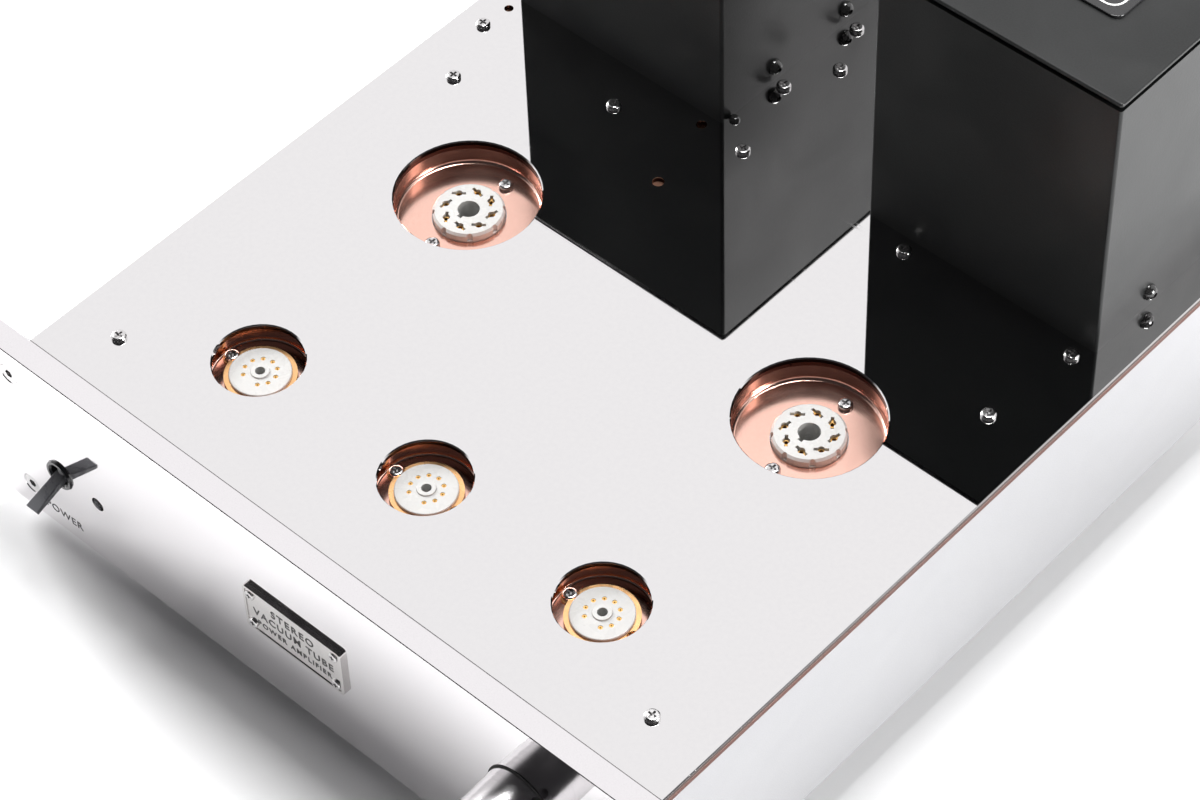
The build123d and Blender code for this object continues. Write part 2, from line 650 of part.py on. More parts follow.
DRAWER_Z = 10.2          # fuse drawer above the inlet's middle
with BuildPart() as mains_inlet:
    with BuildSketch(at(rear_face, INLET_X, INLET_Z)):
        RectangleRounded(50, 36, 3)
    extrude(amount=2.4)
    with BuildSketch(at(rear_face, INLET_X, INLET_Z)):
        Rectangle(28, 32)
    extrude(amount=-24)
    with BuildSketch(at(rear_face, INLET_X, INLET_Z - 5.0, 2.4)):
        with BuildLine():
            Polyline((-12, -8), (12, -8), (12, 3), (7.5, 8), (-7.5, 8), (-12, 3), close=True)
        make_face()
    extrude(amount=-18, mode=Mode.SUBTRACT)
    with BuildSketch(at(rear_face, INLET_X, INLET_Z + DRAWER_Z, 2.4)):
        Rectangle(24.6, 8.6)
    extrude(amount=-22.4, mode=Mode.SUBTRACT)
    with BuildSketch(at(rear_face, INLET_X, INLET_Z, 2.4)):
        with GridLocations(40, 0, 2, 1):
            Circle(1.7)
    extrude(amount=-2.4, mode=Mode.SUBTRACT)
    with BuildSketch(at(rear_face, INLET_X, INLET_Z - 5.0, -15.6)):
        with Locations((-7, -1.5), (7, -1.5), (0, 2.5)):
            Rectangle(2.0, 4.0)
    extrude(amount=12)
save(mains_inlet, "mains_inlet")

with BuildPart() as fuse_drawer:
    with BuildSketch(at(rear_face, INLET_X, INLET_Z + DRAWER_Z, 2.4)):
        Rectangle(24.0, 8.0)
    extrude(amount=-21)
    with BuildSketch(at(rear_face, INLET_X, INLET_Z + DRAWER_Z, 2.7)):
        RectangleRounded(25.6, 9.4, 1.2)
    extrude(amount=1.6)
    with BuildSketch(at(rear_face, INLET_X, INLET_Z + DRAWER_Z, 2.4)):
        Rectangle(24.0, 8.0)
    extrude(amount=0.3)
    with BuildSketch(at(rear_face, INLET_X, INLET_Z + DRAWER_Z, 4.3)):
        with Locations((0, -3.2)):
            Rectangle(9, 1.6)
    extrude(amount=2.0)
save(fuse_drawer, "fuse_drawer")

with BuildPart() as rca_jack:
    with BuildSketch(at(rear_face, JACK_X, JACK_Z)):
        Circle(4.0)
    extrude(amount=-14)
    with BuildSketch(at(rear_face, JACK_X, JACK_Z)):
        RegularPolygon(6.6, 6)
    extrude(amount=2.6)
    with BuildSketch(at(rear_face, JACK_X, JACK_Z, 2.6)):
        Circle(4.15)
    extrude(amount=9)
    with BuildSketch(at(rear_face, JACK_X, JACK_Z, 11.6)):
        Circle(2.9)
        Circle(1.9, mode=Mode.SUBTRACT)
    extrude(amount=-0.8, mode=Mode.SUBTRACT)
    with BuildSketch(at(rear_face, JACK_X, JACK_Z, 11.6)):
        Circle(1.65)
    extrude(amount=-10, mode=Mode.SUBTRACT)
    with BuildSketch(at(rear_face, JACK_X, JACK_Z, -REAR_T)):
        RegularPolygon(6.6, 6)
    extrude(amount=-2.4)
save(rca_jack, "rca_jack")

POST_TRAVEL = 3.5        # screw travel of a terminal cap
with BuildPart() as post_bases:
    for px in POSTS_X.values():
        with BuildSketch(at(rear_face, px, POST_Z)):
            Circle(8.5)
        extrude(amount=3.0)
        with BuildSketch(at(rear_face, px, POST_Z)):
            Circle(4.0)
        extrude(amount=-16)
        with BuildSketch(at(rear_face, px, POST_Z, -REAR_T)):
            RegularPolygon(7.0, 6)
        extrude(amount=-3.0)
        with BuildSketch(at(rear_face, px, POST_Z, 3.0)):
            Circle(2.4)
        extrude(amount=15)
save(post_bases, "post_bases")

for colour, px in POSTS_X.items():
    with BuildPart() as post_insert:
        with BuildSketch(at(rear_face, px, POST_Z, 4.2)):
            Circle(4.2)
            Circle(2.45, mode=Mode.SUBTRACT)
        extrude(amount=14.0)
    save(post_insert, f"post_insert_{colour}")
    with BuildPart() as post_cap:
        with BuildSketch(at(rear_face, px, POST_Z, 4.0)):
            Circle(7.6)
        extrude(amount=20.0)
        chamfer(post_cap.edges().group_by(Axis.Y)[-1], 1.2)
        chamfer(post_cap.edges().group_by(Axis.Y)[0], 0.6)
        with BuildSketch(at(rear_face, px, POST_Z, 4.0)):
            Circle(4.26)
        extrude(amount=14.6, mode=Mode.SUBTRACT)
        with BuildSketch(at(rear_face, px, POST_Z, 7.0)):
            with PolarLocations(8.0, 12):
                Circle(1.0)
        extrude(amount=12.0, mode=Mode.SUBTRACT)
        with BuildSketch(at(rear_face, px, POST_Z, 24.0)):
            Circle(2.3)
        extrude(amount=-5.4, mode=Mode.SUBTRACT)
    save(post_cap, f"post_cap_{colour}")

# ---------------------------------------------------------------- transformer covers and transformers
INNER_W = COVER_W - 2 * COVER_WALL
INNER_D = COVER_D - 2 * COVER_WALL
SIDE_SCREW_Y = (-20.0, 20.0)
SIDE_SCREW_Z = 7.3
for side, sx in (("left", -1), ("right", 1)):
    cx = sx * COVER_X
    with BuildPart() as transformer_cover:
        with BuildSketch(Plane.XY.offset(z(0))):
            with Locations((cx, COVER_Y)):
                RectangleRounded(COVER_W, COVER_D, COVER_R)
                RectangleRounded(INNER_W, INNER_D, 0.5, mode=Mode.SUBTRACT)
        extrude(amount=COVER_H - LID_T - LID_GAP)
        with BuildSketch(Plane.XY.offset(z(COVER_H - 12))):
            with Locations((cx, COVER_Y)):
                Rectangle(INNER_W, INNER_D)
                Rectangle(INNER_W - 8, INNER_D - 8, mode=Mode.SUBTRACT)
        extrude(amount=1.5)
        for dy in SIDE_SCREW_Y:
            with BuildSketch(Plane(origin=(cx, COVER_Y + dy, z(SIDE_SCREW_Z)), z_dir=(1, 0, 0))):
                Circle(1.8)
            extrude(amount=COVER_W / 2 + 1, both=True, mode=Mode.SUBTRACT)
    save(transformer_cover, f"transformer_cover_{side}")

    with BuildPart() as cover_lid:
        with BuildSketch(Plane.XY.offset(z(COVER_H - LID_T))):
            with Locations((cx, COVER_Y)):
                RectangleRounded(COVER_W, COVER_D, COVER_R)
        extrude(amount=LID_T)
        fillet(cover_lid.edges().group_by(Axis.Z)[-1], 0.7)
        with BuildSketch(Plane.XY.offset(z(COVER_H - 10.5))):
            with Locations((cx, COVER_Y)):
                RectangleRounded(INNER_W - 0.4, INNER_D - 0.4, 1.4)
                RectangleRounded(INNER_W - 3.4, INNER_D - 3.4, 1.0, mode=Mode.SUBTRACT)
        extrude(amount=10.5 - LID_T)
    save(cover_lid, f"cover_lid_{side}")

    with BuildPart() as cover_label:
        with BuildSketch(Plane.XY.offset(z(COVER_H))):
            with Locations((cx, COVER_Y)):
                RectangleRounded(51.3, 37.8, 3.5)
        extrude(amount=1.0)
        fillet(cover_label.edges().group_by(Axis.Z)[-1], 0.3)
    save(cover_label, f"cover_label_{side}")

    with BuildPart() as transformer_core:
        with BuildSketch(Plane(origin=(cx, COVER_Y - STACK / 2, z(CORE_H / 2)), x_dir=(1, 0, 0), z_dir=(0, 1, 0))):
            Rectangle(CORE_W, CORE_H)
            with GridLocations(LEG + LEG / 2, 0, 2, 1):
                Rectangle(LEG / 2, CORE_H - LEG, mode=Mode.SUBTRACT)
            with GridLocations(CORE_W - 10, CORE_H - 10, 2, 2):
                Circle(2.1, mode=Mode.SUBTRACT)
        extrude(amount=STACK)
    save(transformer_core, f"transformer_core_{side}")

    with BuildPart() as transformer_coil:
        with BuildSketch(Plane.XY.offset(z(LEG / 2 + 0.5))):
            with Locations((cx, COVER_Y)):
                RectangleRounded(2 * LEG - 0.4, STACK + 26, 6)
                Rectangle(LEG, STACK, mode=Mode.SUBTRACT)
        extrude(amount=CORE_H - LEG - 1)
    save(transformer_coil, f"transformer_coil_{side}")

with BuildPart() as cover_base_frames:
    for sx in (-1, 1):
        cx = sx * COVER_X
        with BuildSketch(Plane.XY.offset(z(0))):
            with Locations((cx, COVER_Y)):
                RectangleRounded(INNER_W, INNER_D, 1.5)
                Rectangle(INNER_W - 6, INNER_D - 6, mode=Mode.SUBTRACT)
        extrude(amount=12)
        for dy in SIDE_SCREW_Y:
            with BuildSketch(Plane(origin=(cx, COVER_Y + dy, z(SIDE_SCREW_Z)), z_dir=(1, 0, 0))):
                Circle(1.7)
            extrude(amount=COVER_W / 2 + 1, both=True, mode=Mode.SUBTRACT)
save(cover_base_frames, "cover_base_frames")

side_screw = dome_screw(3.2, 2.9, 1.6, 4.4)
side_screw_at = []
for sx in (-1, 1):
    for dy in SIDE_SCREW_Y:
        for face in (-1, 1):
            side_screw_at.append(
                Plane(
                    origin=(sx * COVER_X + face * COVER_W / 2, COVER_Y + dy, z(SIDE_SCREW_Z)),
                    z_dir=(face, 0, 0),
                ).location
            )
with BuildPart() as cover_screws:
    with Locations(*side_screw_at):
        add(side_screw)
    # a small black button on the deck, beside the left cover's front corner
    with BuildSketch(Plane.XY.offset(z(0))):
        with Locations((-COVER_X + COVER_W / 2 + 2.1, FRONT + 239.0)):
            Circle(2.0)
    extrude(amount=1.7)
    fillet(cover_screws.faces().filter_by(Plane.XY).sort_by(Axis.Z)[-1].edges(), 1.3)
save(cover_screws, "cover_screws")

with BuildPart() as long_bolt:
    with BuildSketch(Plane.XZ.offset(-STACK / 2)):
        Circle(2.0)
    extrude(amount=STACK)
    with BuildSketch(Plane.XZ.offset(STACK / 2)):
        RegularPolygon(4.0, 6)
    extrude(amount=3.0)
    with BuildSketch(Plane.XZ.offset(-STACK / 2)):
        RegularPolygon(4.0, 6)
    extrude(amount=-3.0)
long_bolt_at = [
    (sx * COVER_X + dx, COVER_Y, z(CORE_H / 2) + dz)
    for sx in (-1, 1)
    for dx in (-(CORE_W - 10) / 2, (CORE_W - 10) / 2)
    for dz in (-(CORE_H - 10) / 2, (CORE_H - 10) / 2)
]
with BuildPart() as transformer_bolts:
    with Locations(*long_bolt_at):
        add(long_bolt.part)
save(transformer_bolts, "transformer_bolts")

# ---------------------------------------------------------------- inside the chassis
BOARD_Y = FRONT + 110.0
with BuildPart() as circuit_board:
    with BuildSketch(Plane.XY.offset(z(SIDE_BOTTOM + 8))):
        with Locations((0, BOARD_Y)):
            Rectangle(100, 90)
    extrude(amount=1.6)
    with BuildSketch(Plane.XY.offset(z(SIDE_BOTTOM))):
        with Locations((0, BOARD_Y)):
            with GridLocations(90, 80, 2, 2):
                Circle(3.0)
    extrude(amount=8)
save(circuit_board, "circuit_board")

with BuildPart() as capacitors:
    with BuildSketch(Plane.XY.offset(z(SIDE_BOTTOM + 9.6))):
        with Locations((0, BOARD_Y)):
            with GridLocations(30, 34, 3, 2):
                Circle(12.0)
    extrude(amount=30)
    fillet(capacitors.edges().group_by(Axis.Z)[-1], 1.5)
save(capacitors, "capacitors")
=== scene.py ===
"""Looks of a tube power amplifier: finishes, lettering, small hardware and studio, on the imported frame."""

import logging
import math
from dataclasses import dataclass, field
from enum import Enum
from typing import Optional, Sequence, Union

import bpy
from mathutils import Matrix, Vector

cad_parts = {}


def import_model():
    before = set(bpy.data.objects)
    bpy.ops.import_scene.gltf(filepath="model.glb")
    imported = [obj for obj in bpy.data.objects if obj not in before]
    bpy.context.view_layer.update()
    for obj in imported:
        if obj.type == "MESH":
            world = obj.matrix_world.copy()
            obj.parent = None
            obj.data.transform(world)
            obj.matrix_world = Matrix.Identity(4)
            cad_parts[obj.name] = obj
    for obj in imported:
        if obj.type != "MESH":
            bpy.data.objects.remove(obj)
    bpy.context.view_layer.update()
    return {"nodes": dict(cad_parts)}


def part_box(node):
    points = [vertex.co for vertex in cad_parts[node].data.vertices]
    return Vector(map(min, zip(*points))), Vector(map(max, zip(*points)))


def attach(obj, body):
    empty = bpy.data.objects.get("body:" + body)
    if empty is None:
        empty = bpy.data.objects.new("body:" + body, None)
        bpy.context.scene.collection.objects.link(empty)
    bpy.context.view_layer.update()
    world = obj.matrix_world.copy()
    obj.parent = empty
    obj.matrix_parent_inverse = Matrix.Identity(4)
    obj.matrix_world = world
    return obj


log = logging.getLogger("amplifier")

Colour = tuple[float, float, float]
Point = tuple[float, float, float]
Socket = bpy.types.NodeSocket
Node = bpy.types.Node
Piece = bpy.types.Object
Nodes = dict[str, bpy.types.Object]

UPRIGHT: Point = (math.pi / 2, 0.0, 0.0)
UPRIGHT_BACKWARD: Point = (math.pi / 2, 0.0, math.pi)
INK_THICK = 0.0001
SINK = 0.00002


class Grain(Enum):
    """How a surface was worked, which sets the direction and shape of its fine texture."""

    FINE = "fine"
    BRUSHED_X = "brushed along X"
    BRUSHED_Y = "brushed along Y"
    TURNED_Y = "turned about Y"
    TURNED_Z = "turned about Z"
    STACKED = "stacked sheets"
    WRAPPED = "wrapped layers"


# ------------------------------------------------------------------------------------------ node helpers
class Bench:
    """Places nodes in one tree and joins them."""

    def __init__(self, tree: bpy.types.NodeTree) -> None:
        """Take the tree to work in.

        Args:
            tree: The node tree of a material, a group or a world.
        """
        self.tree = tree
        self._count = 0

    def node(self, kind: str, values: Optional[dict] = None, **settings: object) -> Node:
        """Add one node.

        Args:
            kind: The node's type name.
            values: Input name or index to a value, or to a socket to link from.
            settings: Properties of the node itself.

        Returns:
            The new node.
        """
        made = self.tree.nodes.new(kind)
        made.location = (180 * (self._count % 12), -260 * (self._count // 12))
        self._count += 1
        for key, value in settings.items():
            setattr(made, key, value)
        for key, value in (values or {}).items():
            if isinstance(value, Socket):
                self.tree.links.new(value, made.inputs[key])
            else:
                made.inputs[key].default_value = value
        return made

    def calc(self, operation: str, a: Union[float, Socket], b: Union[float, Socket] = 0.0) -> Socket:
        """Join one Math node.

        Args:
            operation: Math operation, such as MULTIPLY.
            a: First value or socket.
            b: Second value or socket.

        Returns:
            The result socket.
        """
        return self.node("ShaderNodeMath", {0: a, 1: b}, operation=operation).outputs[0]

    def spread(
        self, value: Socket, low: float, high: float, to_low: float = 0.0, to_high: float = 1.0
    ) -> Socket:
        """Map a value from one range to another, clamped.

        Args:
            value: Socket to map.
            low: Start of the range read.
            high: End of the range read.
            to_low: Start of the range given.
            to_high: End of the range given.

        Returns:
            The mapped socket.
        """
        values = {"Value": value, "From Min": low, "From Max": high, "To Min": to_low, "To Max": to_high}
        return self.node("ShaderNodeMapRange", values).outputs["Result"]

    def blend(self, mask: Socket, a: Union[Colour, Socket], b: Union[Colour, Socket]) -> Socket:
        """Mix two colours by a mask.

        Args:
            mask: 0 gives a, 1 gives b.
            a: First colour or socket.
            b: Second colour or socket.

        Returns:
            The mixed colour socket.
        """
        mix = self.node("ShaderNodeMix", data_type="RGBA")
        self.tree.links.new(mask, mix.inputs["Factor"])
        for slot, colour in ((6, a), (7, b)):
            if isinstance(colour, Socket):
                self.tree.links.new(colour, mix.inputs[slot])
            else:
                mix.inputs[slot].default_value = (*colour, 1.0)
        return mix.outputs[2]


class Effects:
    """Shader node groups that several finishes use, each built once with named inputs and outputs."""

    def __init__(self) -> None:
        """Start with no group built."""
        self._groups: dict[str, bpy.types.NodeTree] = {}

    def _open(self, name: str, scale: float, outputs: Sequence[str]) -> tuple[Bench, Node, Node]:
        """Make a group that reads a place and a scale.

        Args:
            name: The group's name.
            scale: The scale it starts with.
            outputs: Names of the float outputs.

        Returns:
            The bench, the group's input node and its output node.
        """
        tree = bpy.data.node_groups.new(name, "ShaderNodeTree")
        tree.interface.new_socket("Vector", in_out="INPUT", socket_type="NodeSocketVector")
        size = tree.interface.new_socket("Scale", in_out="INPUT", socket_type="NodeSocketFloat")
        size.default_value = scale
        for label in outputs:
            tree.interface.new_socket(label, in_out="OUTPUT", socket_type="NodeSocketFloat")
        bench = Bench(tree)
        self._groups[name] = tree
        return bench, bench.node("NodeGroupInput"), bench.node("NodeGroupOutput")

    def grain(self) -> bpy.types.NodeTree:
        """Fine even grain, as of blasting, casting or powder coat.

        Returns:
            The group, with Height and Tone.
        """
        if "fine_grain" not in self._groups:
            b, come, go = self._open("fine_grain", 800, ["Height", "Tone"])
            laid = {"Vector": come.outputs["Vector"], "Scale": come.outputs["Scale"]}
            noise = b.node("ShaderNodeTexNoise", {**laid, "Detail": 2.5, "Roughness": 0.6})
            cells = b.node(
                "ShaderNodeTexVoronoi",
                {"Vector": come.outputs["Vector"], "Scale": b.calc("MULTIPLY", come.outputs["Scale"], 0.8)},
                feature="SMOOTH_F1",
            )
            speckle = b.calc("MULTIPLY", noise.outputs["Fac"], 0.7)
            pebble = b.calc("MULTIPLY", cells.outputs["Distance"], 0.5)
            b.tree.links.new(b.calc("ADD", speckle, pebble), go.inputs["Height"])
            b.tree.links.new(b.spread(noise.outputs["Fac"], 0.32, 0.68), go.inputs["Tone"])
        return self._groups["fine_grain"]

    def lines(self) -> bpy.types.NodeTree:
        """Straight streaks along X, as of brushing.

        Returns:
            The group, with Height and Tone.
        """
        if "brush_lines" not in self._groups:
            b, come, go = self._open("brush_lines", 800, ["Height", "Tone"])
            stretched = {0: come.outputs["Vector"], 1: (0.012, 1.0, 1.0)}
            thin = b.node("ShaderNodeVectorMath", stretched, operation="MULTIPLY")
            streak = b.node(
                "ShaderNodeTexNoise",
                {"Vector": thin.outputs[0], "Scale": come.outputs["Scale"], "Detail": 3.0, "Roughness": 0.7},
            )
            b.tree.links.new(streak.outputs["Fac"], go.inputs["Height"])
            b.tree.links.new(b.spread(streak.outputs["Fac"], 0.3, 0.7), go.inputs["Tone"])
        return self._groups["brush_lines"]

    def rings(self) -> bpy.types.NodeTree:
        """Rings about Z, as a lathe tool leaves them.

        Returns:
            The group, with Height and Tone.
        """
        if "lathe_rings" not in self._groups:
            b, come, go = self._open("lathe_rings", 800, ["Height", "Tone"])
            parts = b.node("ShaderNodeSeparateXYZ", {0: come.outputs["Vector"]})
            reach = b.calc("POWER", parts.outputs["X"], 2.0)
            reach = b.calc("SQRT", b.calc("ADD", reach, b.calc("POWER", parts.outputs["Y"], 2.0)))
            spin = b.calc("ARCTAN2", parts.outputs["Y"], parts.outputs["X"])
            place = b.node(
                "ShaderNodeCombineXYZ",
                {"X": reach, "Y": parts.outputs["Z"], "Z": b.calc("MULTIPLY", spin, 0.00012)},
            )
            laid = {"Vector": place.outputs[0], "Scale": come.outputs["Scale"]}
            ring = b.node("ShaderNodeTexNoise", {**laid, "Detail": 2.0, "Roughness": 0.65})
            b.tree.links.new(ring.outputs["Fac"], go.inputs["Height"])
            b.tree.links.new(b.spread(ring.outputs["Fac"], 0.3, 0.7), go.inputs["Tone"])
        return self._groups["lathe_rings"]

    def handling(self) -> bpy.types.NodeTree:
        """Wide soft smudges and thin crossing hairlines that handling and wiping leave.

        Returns:
            The group, with Smudge and Hairline.
        """
        if "handling_marks" not in self._groups:
            b, come, go = self._open("handling_marks", 12, ["Smudge", "Hairline"])
            soft = b.node(
                "ShaderNodeTexNoise",
                {
                    "Vector": come.outputs["Vector"],
                    "Scale": come.outputs["Scale"],
                    "Detail": 4.0,
                    "Roughness": 0.55,
                    "Distortion": 0.6,
                },
            )
            b.tree.links.new(b.spread(soft.outputs["Fac"], 0.35, 0.7), go.inputs["Smudge"])
            found = []
            for turn, seed in ((0.4, 0.0), (1.9, 7.3)):
                laid = b.node(
                    "ShaderNodeMapping",
                    {
                        "Vector": come.outputs["Vector"],
                        "Location": (seed, seed, 0),
                        "Rotation": (0.3, 0.2, turn),
                        "Scale": (0.5, 40.0, 40.0),
                    },
                )
                finer = b.calc("MULTIPLY", come.outputs["Scale"], 1.6)
                hair = b.node(
                    "ShaderNodeTexNoise",
                    {"Vector": laid.outputs[0], "Scale": finer, "Detail": 1.0, "Distortion": 0.15},
                )
                found.append(b.spread(hair.outputs["Fac"], 0.70, 0.76))
            b.tree.links.new(b.calc("MAXIMUM", found[0], found[1]), go.inputs["Hairline"])
        return self._groups["handling_marks"]


# ------------------------------------------------------------------------------------------ finishes
@dataclass(frozen=True)
class Finish:
    """One surface finish: base and worn colours, gloss, fine texture and what lies over it.

    Lengths are metres, and scales are features per metre.
    """

    name: str
    colour: Colour
    second: Colour
    rough: float
    rough_to: float
    metallic: float = 0.0
    grain: Grain = Grain.FINE
    scale: float = 900.0
    relief: float = 0.15
    depth: float = 0.00005
    tone: float = 0.5
    smudge: float = 14.0
    smudge_share: float = 0.35
    hairline: float = 0.0
    coat: float = 0.0
    coat_rough: float = 0.05
    specular: float = 0.5
    ior: float = 1.5
    anisotropic: float = 0.0
    sheen: float = 0.0
    centre: Point = (0.0, 0.0, 0.0)

    def make(self, effects: Effects) -> bpy.types.Material:
        """Build the material.

        Args:
            effects: The shared node groups.

        Returns:
            The finished material.
        """
        material = bpy.data.materials.new(self.name)
        material.use_nodes = True
        material.node_tree.nodes.clear()
        b = Bench(material.node_tree)
        output = b.node("ShaderNodeOutputMaterial")
        shader = b.node("ShaderNodeBsdfPrincipled")
        b.tree.links.new(shader.outputs[0], output.inputs["Surface"])
        self._set_constants(shader)
        place = b.node("ShaderNodeTexCoord").outputs["Object"]
        fine = self._fine(b, effects, place)
        marks = b.node("ShaderNodeGroup", {}, node_tree=effects.handling())
        b.tree.links.new(place, marks.inputs["Vector"])
        marks.inputs["Scale"].default_value = self.smudge
        mask = b.calc("MULTIPLY", fine.outputs["Tone"], self.tone)
        worn = b.calc("MULTIPLY", marks.outputs["Smudge"], self.smudge_share * self.tone)
        mask = b.calc("ADD", mask, worn)
        b.tree.links.new(b.blend(mask, self.colour, self.second), shader.inputs["Base Color"])
        rough = b.spread(marks.outputs["Smudge"], 0.0, 1.0, self.rough, self.rough_to)
        if self.hairline:
            rough = b.calc("ADD", rough, b.calc("MULTIPLY", marks.outputs["Hairline"], self.hairline))
        b.tree.links.new(rough, shader.inputs["Roughness"])
        raised = {"Strength": self.relief, "Distance": self.depth, "Height": fine.outputs["Height"]}
        bump = b.node("ShaderNodeBump", raised)
        b.tree.links.new(bump.outputs[0], shader.inputs["Normal"])
        self._extra(b, shader, fine, marks)
        return material

    def _set_constants(self, shader: Node) -> None:
        """Set what is the same all over on the shader's own sockets.

        Args:
            shader: The Principled shader.
        """
        for socket, value in (
            ("Metallic", self.metallic),
            ("IOR", self.ior),
            ("Specular IOR Level", self.specular),
            ("Coat Weight", self.coat),
            ("Coat Roughness", self.coat_rough),
            ("Anisotropic", self.anisotropic),
            ("Sheen Weight", self.sheen),
        ):
            shader.inputs[socket].default_value = value

    def _fine(self, b: Bench, effects: Effects, place: Socket) -> Node:
        """Place the group for the way this surface was worked.

        Args:
            b: The material's bench.
            effects: The shared node groups.
            place: Object coordinates.

        Returns:
            The group node, with Height and Tone.
        """
        turn: Point = (0.0, 0.0, 0.0)
        tree = effects.grain()
        stretch: Point = (1.0, 1.0, 1.0)
        if self.grain in (Grain.BRUSHED_X, Grain.BRUSHED_Y):
            tree = effects.lines()
            turn = (0.0, 0.0, math.pi / 2 if self.grain is Grain.BRUSHED_Y else 0.0)
        elif self.grain in (Grain.TURNED_Y, Grain.TURNED_Z):
            tree = effects.rings()
            turn = (math.pi / 2 if self.grain is Grain.TURNED_Y else 0.0, 0.0, 0.0)
        elif self.grain is Grain.STACKED:
            tree = effects.lines()
            stretch = (0.02, 1.0, 0.02)
        elif self.grain is Grain.WRAPPED:
            stretch = (0.15, 0.15, 1.0)
        moved = b.node("ShaderNodeVectorMath", {0: place, 1: self.centre}, operation="SUBTRACT")
        laid = b.node("ShaderNodeMapping", {"Vector": moved.outputs[0], "Rotation": turn, "Scale": stretch})
        fine = b.node("ShaderNodeGroup", {}, node_tree=tree)
        b.tree.links.new(laid.outputs[0], fine.inputs["Vector"])
        fine.inputs["Scale"].default_value = self.scale
        return fine

    def _extra(self, b: Bench, shader: Node, fine: Node, marks: Node) -> None:
        """Add what only some finishes have; a plain finish adds nothing."""


@dataclass(frozen=True)
class Lens(Finish):
    """Clear moulded lens: plain transmission, with its faint haze in roughness and bump."""

    transmission: float = 0.85

    def _set_constants(self, shader: Node) -> None:
        """Set the constants, and the light let through."""
        super()._set_constants(shader)
        shader.inputs["Transmission Weight"].default_value = self.transmission


@dataclass(frozen=True)
class ShadedEdgeSheet(Finish):
    """Sheet with painted shade on its cut edges and hole walls: a dark edge colour below a set drop under the
    top, and over that the base colour or a paler top-face colour, whose thin band down the rim is a painted
    highlight.
    """

    top: float = 0.0
    # How far under the top the painted shade begins.
    shade_drop: float = 0.00045
    # Edge colour: painted shade on cut edges and hole walls.
    edge: Colour = (0.10, 0.05, 0.04)
    # Top-face colour; its thin band down the rim is a painted highlight.
    face_and_rim_highlight: Optional[Colour] = None

    def _extra(self, b: Bench, shader: Node, fine: Node, marks: Node) -> None:
        """Paint the shade in the edge colour below the set drop, by height and a little by the fine texture;
        a top-face colour, when given, also paints the thin highlight band down the rim.
        """
        parts = b.node("ShaderNodeSeparateXYZ", {0: b.node("ShaderNodeTexCoord").outputs["Object"]})
        mask = b.spread(parts.outputs["Z"], self.top - 1.1 * self.shade_drop, self.top - 0.9 * self.shade_drop)
        darker_shade = (0.5 * self.edge[0], 0.5 * self.edge[1], 0.5 * self.edge[2])
        high = shader.inputs["Base Color"].links[0].from_socket
        low = b.blend(b.spread(fine.outputs["Tone"], 0.0, 1.0, 0.0, 0.35), self.edge, darker_shade)
        if self.face_and_rim_highlight is not None:
            high = b.blend(b.spread(fine.outputs["Tone"], 0.0, 1.0, 0.0, 0.3), self.face_and_rim_highlight, self.edge)
        b.tree.links.new(b.blend(mask, low, high), shader.inputs["Base Color"])


@dataclass(frozen=True)
class Ceramic(Finish):
    """Fired white ceramic: a thin glaze and a little light carried below the surface."""

    carried: float = 0.15
    carried_reach: Point = (0.002, 0.0018, 0.0015)
    carried_scale: float = 0.6

    def _set_constants(self, shader: Node) -> None:
        """Set the constants, and the light carried below the surface."""
        super()._set_constants(shader)
        shader.inputs["Subsurface Weight"].default_value = self.carried
        shader.inputs["Subsurface Radius"].default_value = self.carried_reach
        shader.inputs["Subsurface Scale"].default_value = self.carried_scale


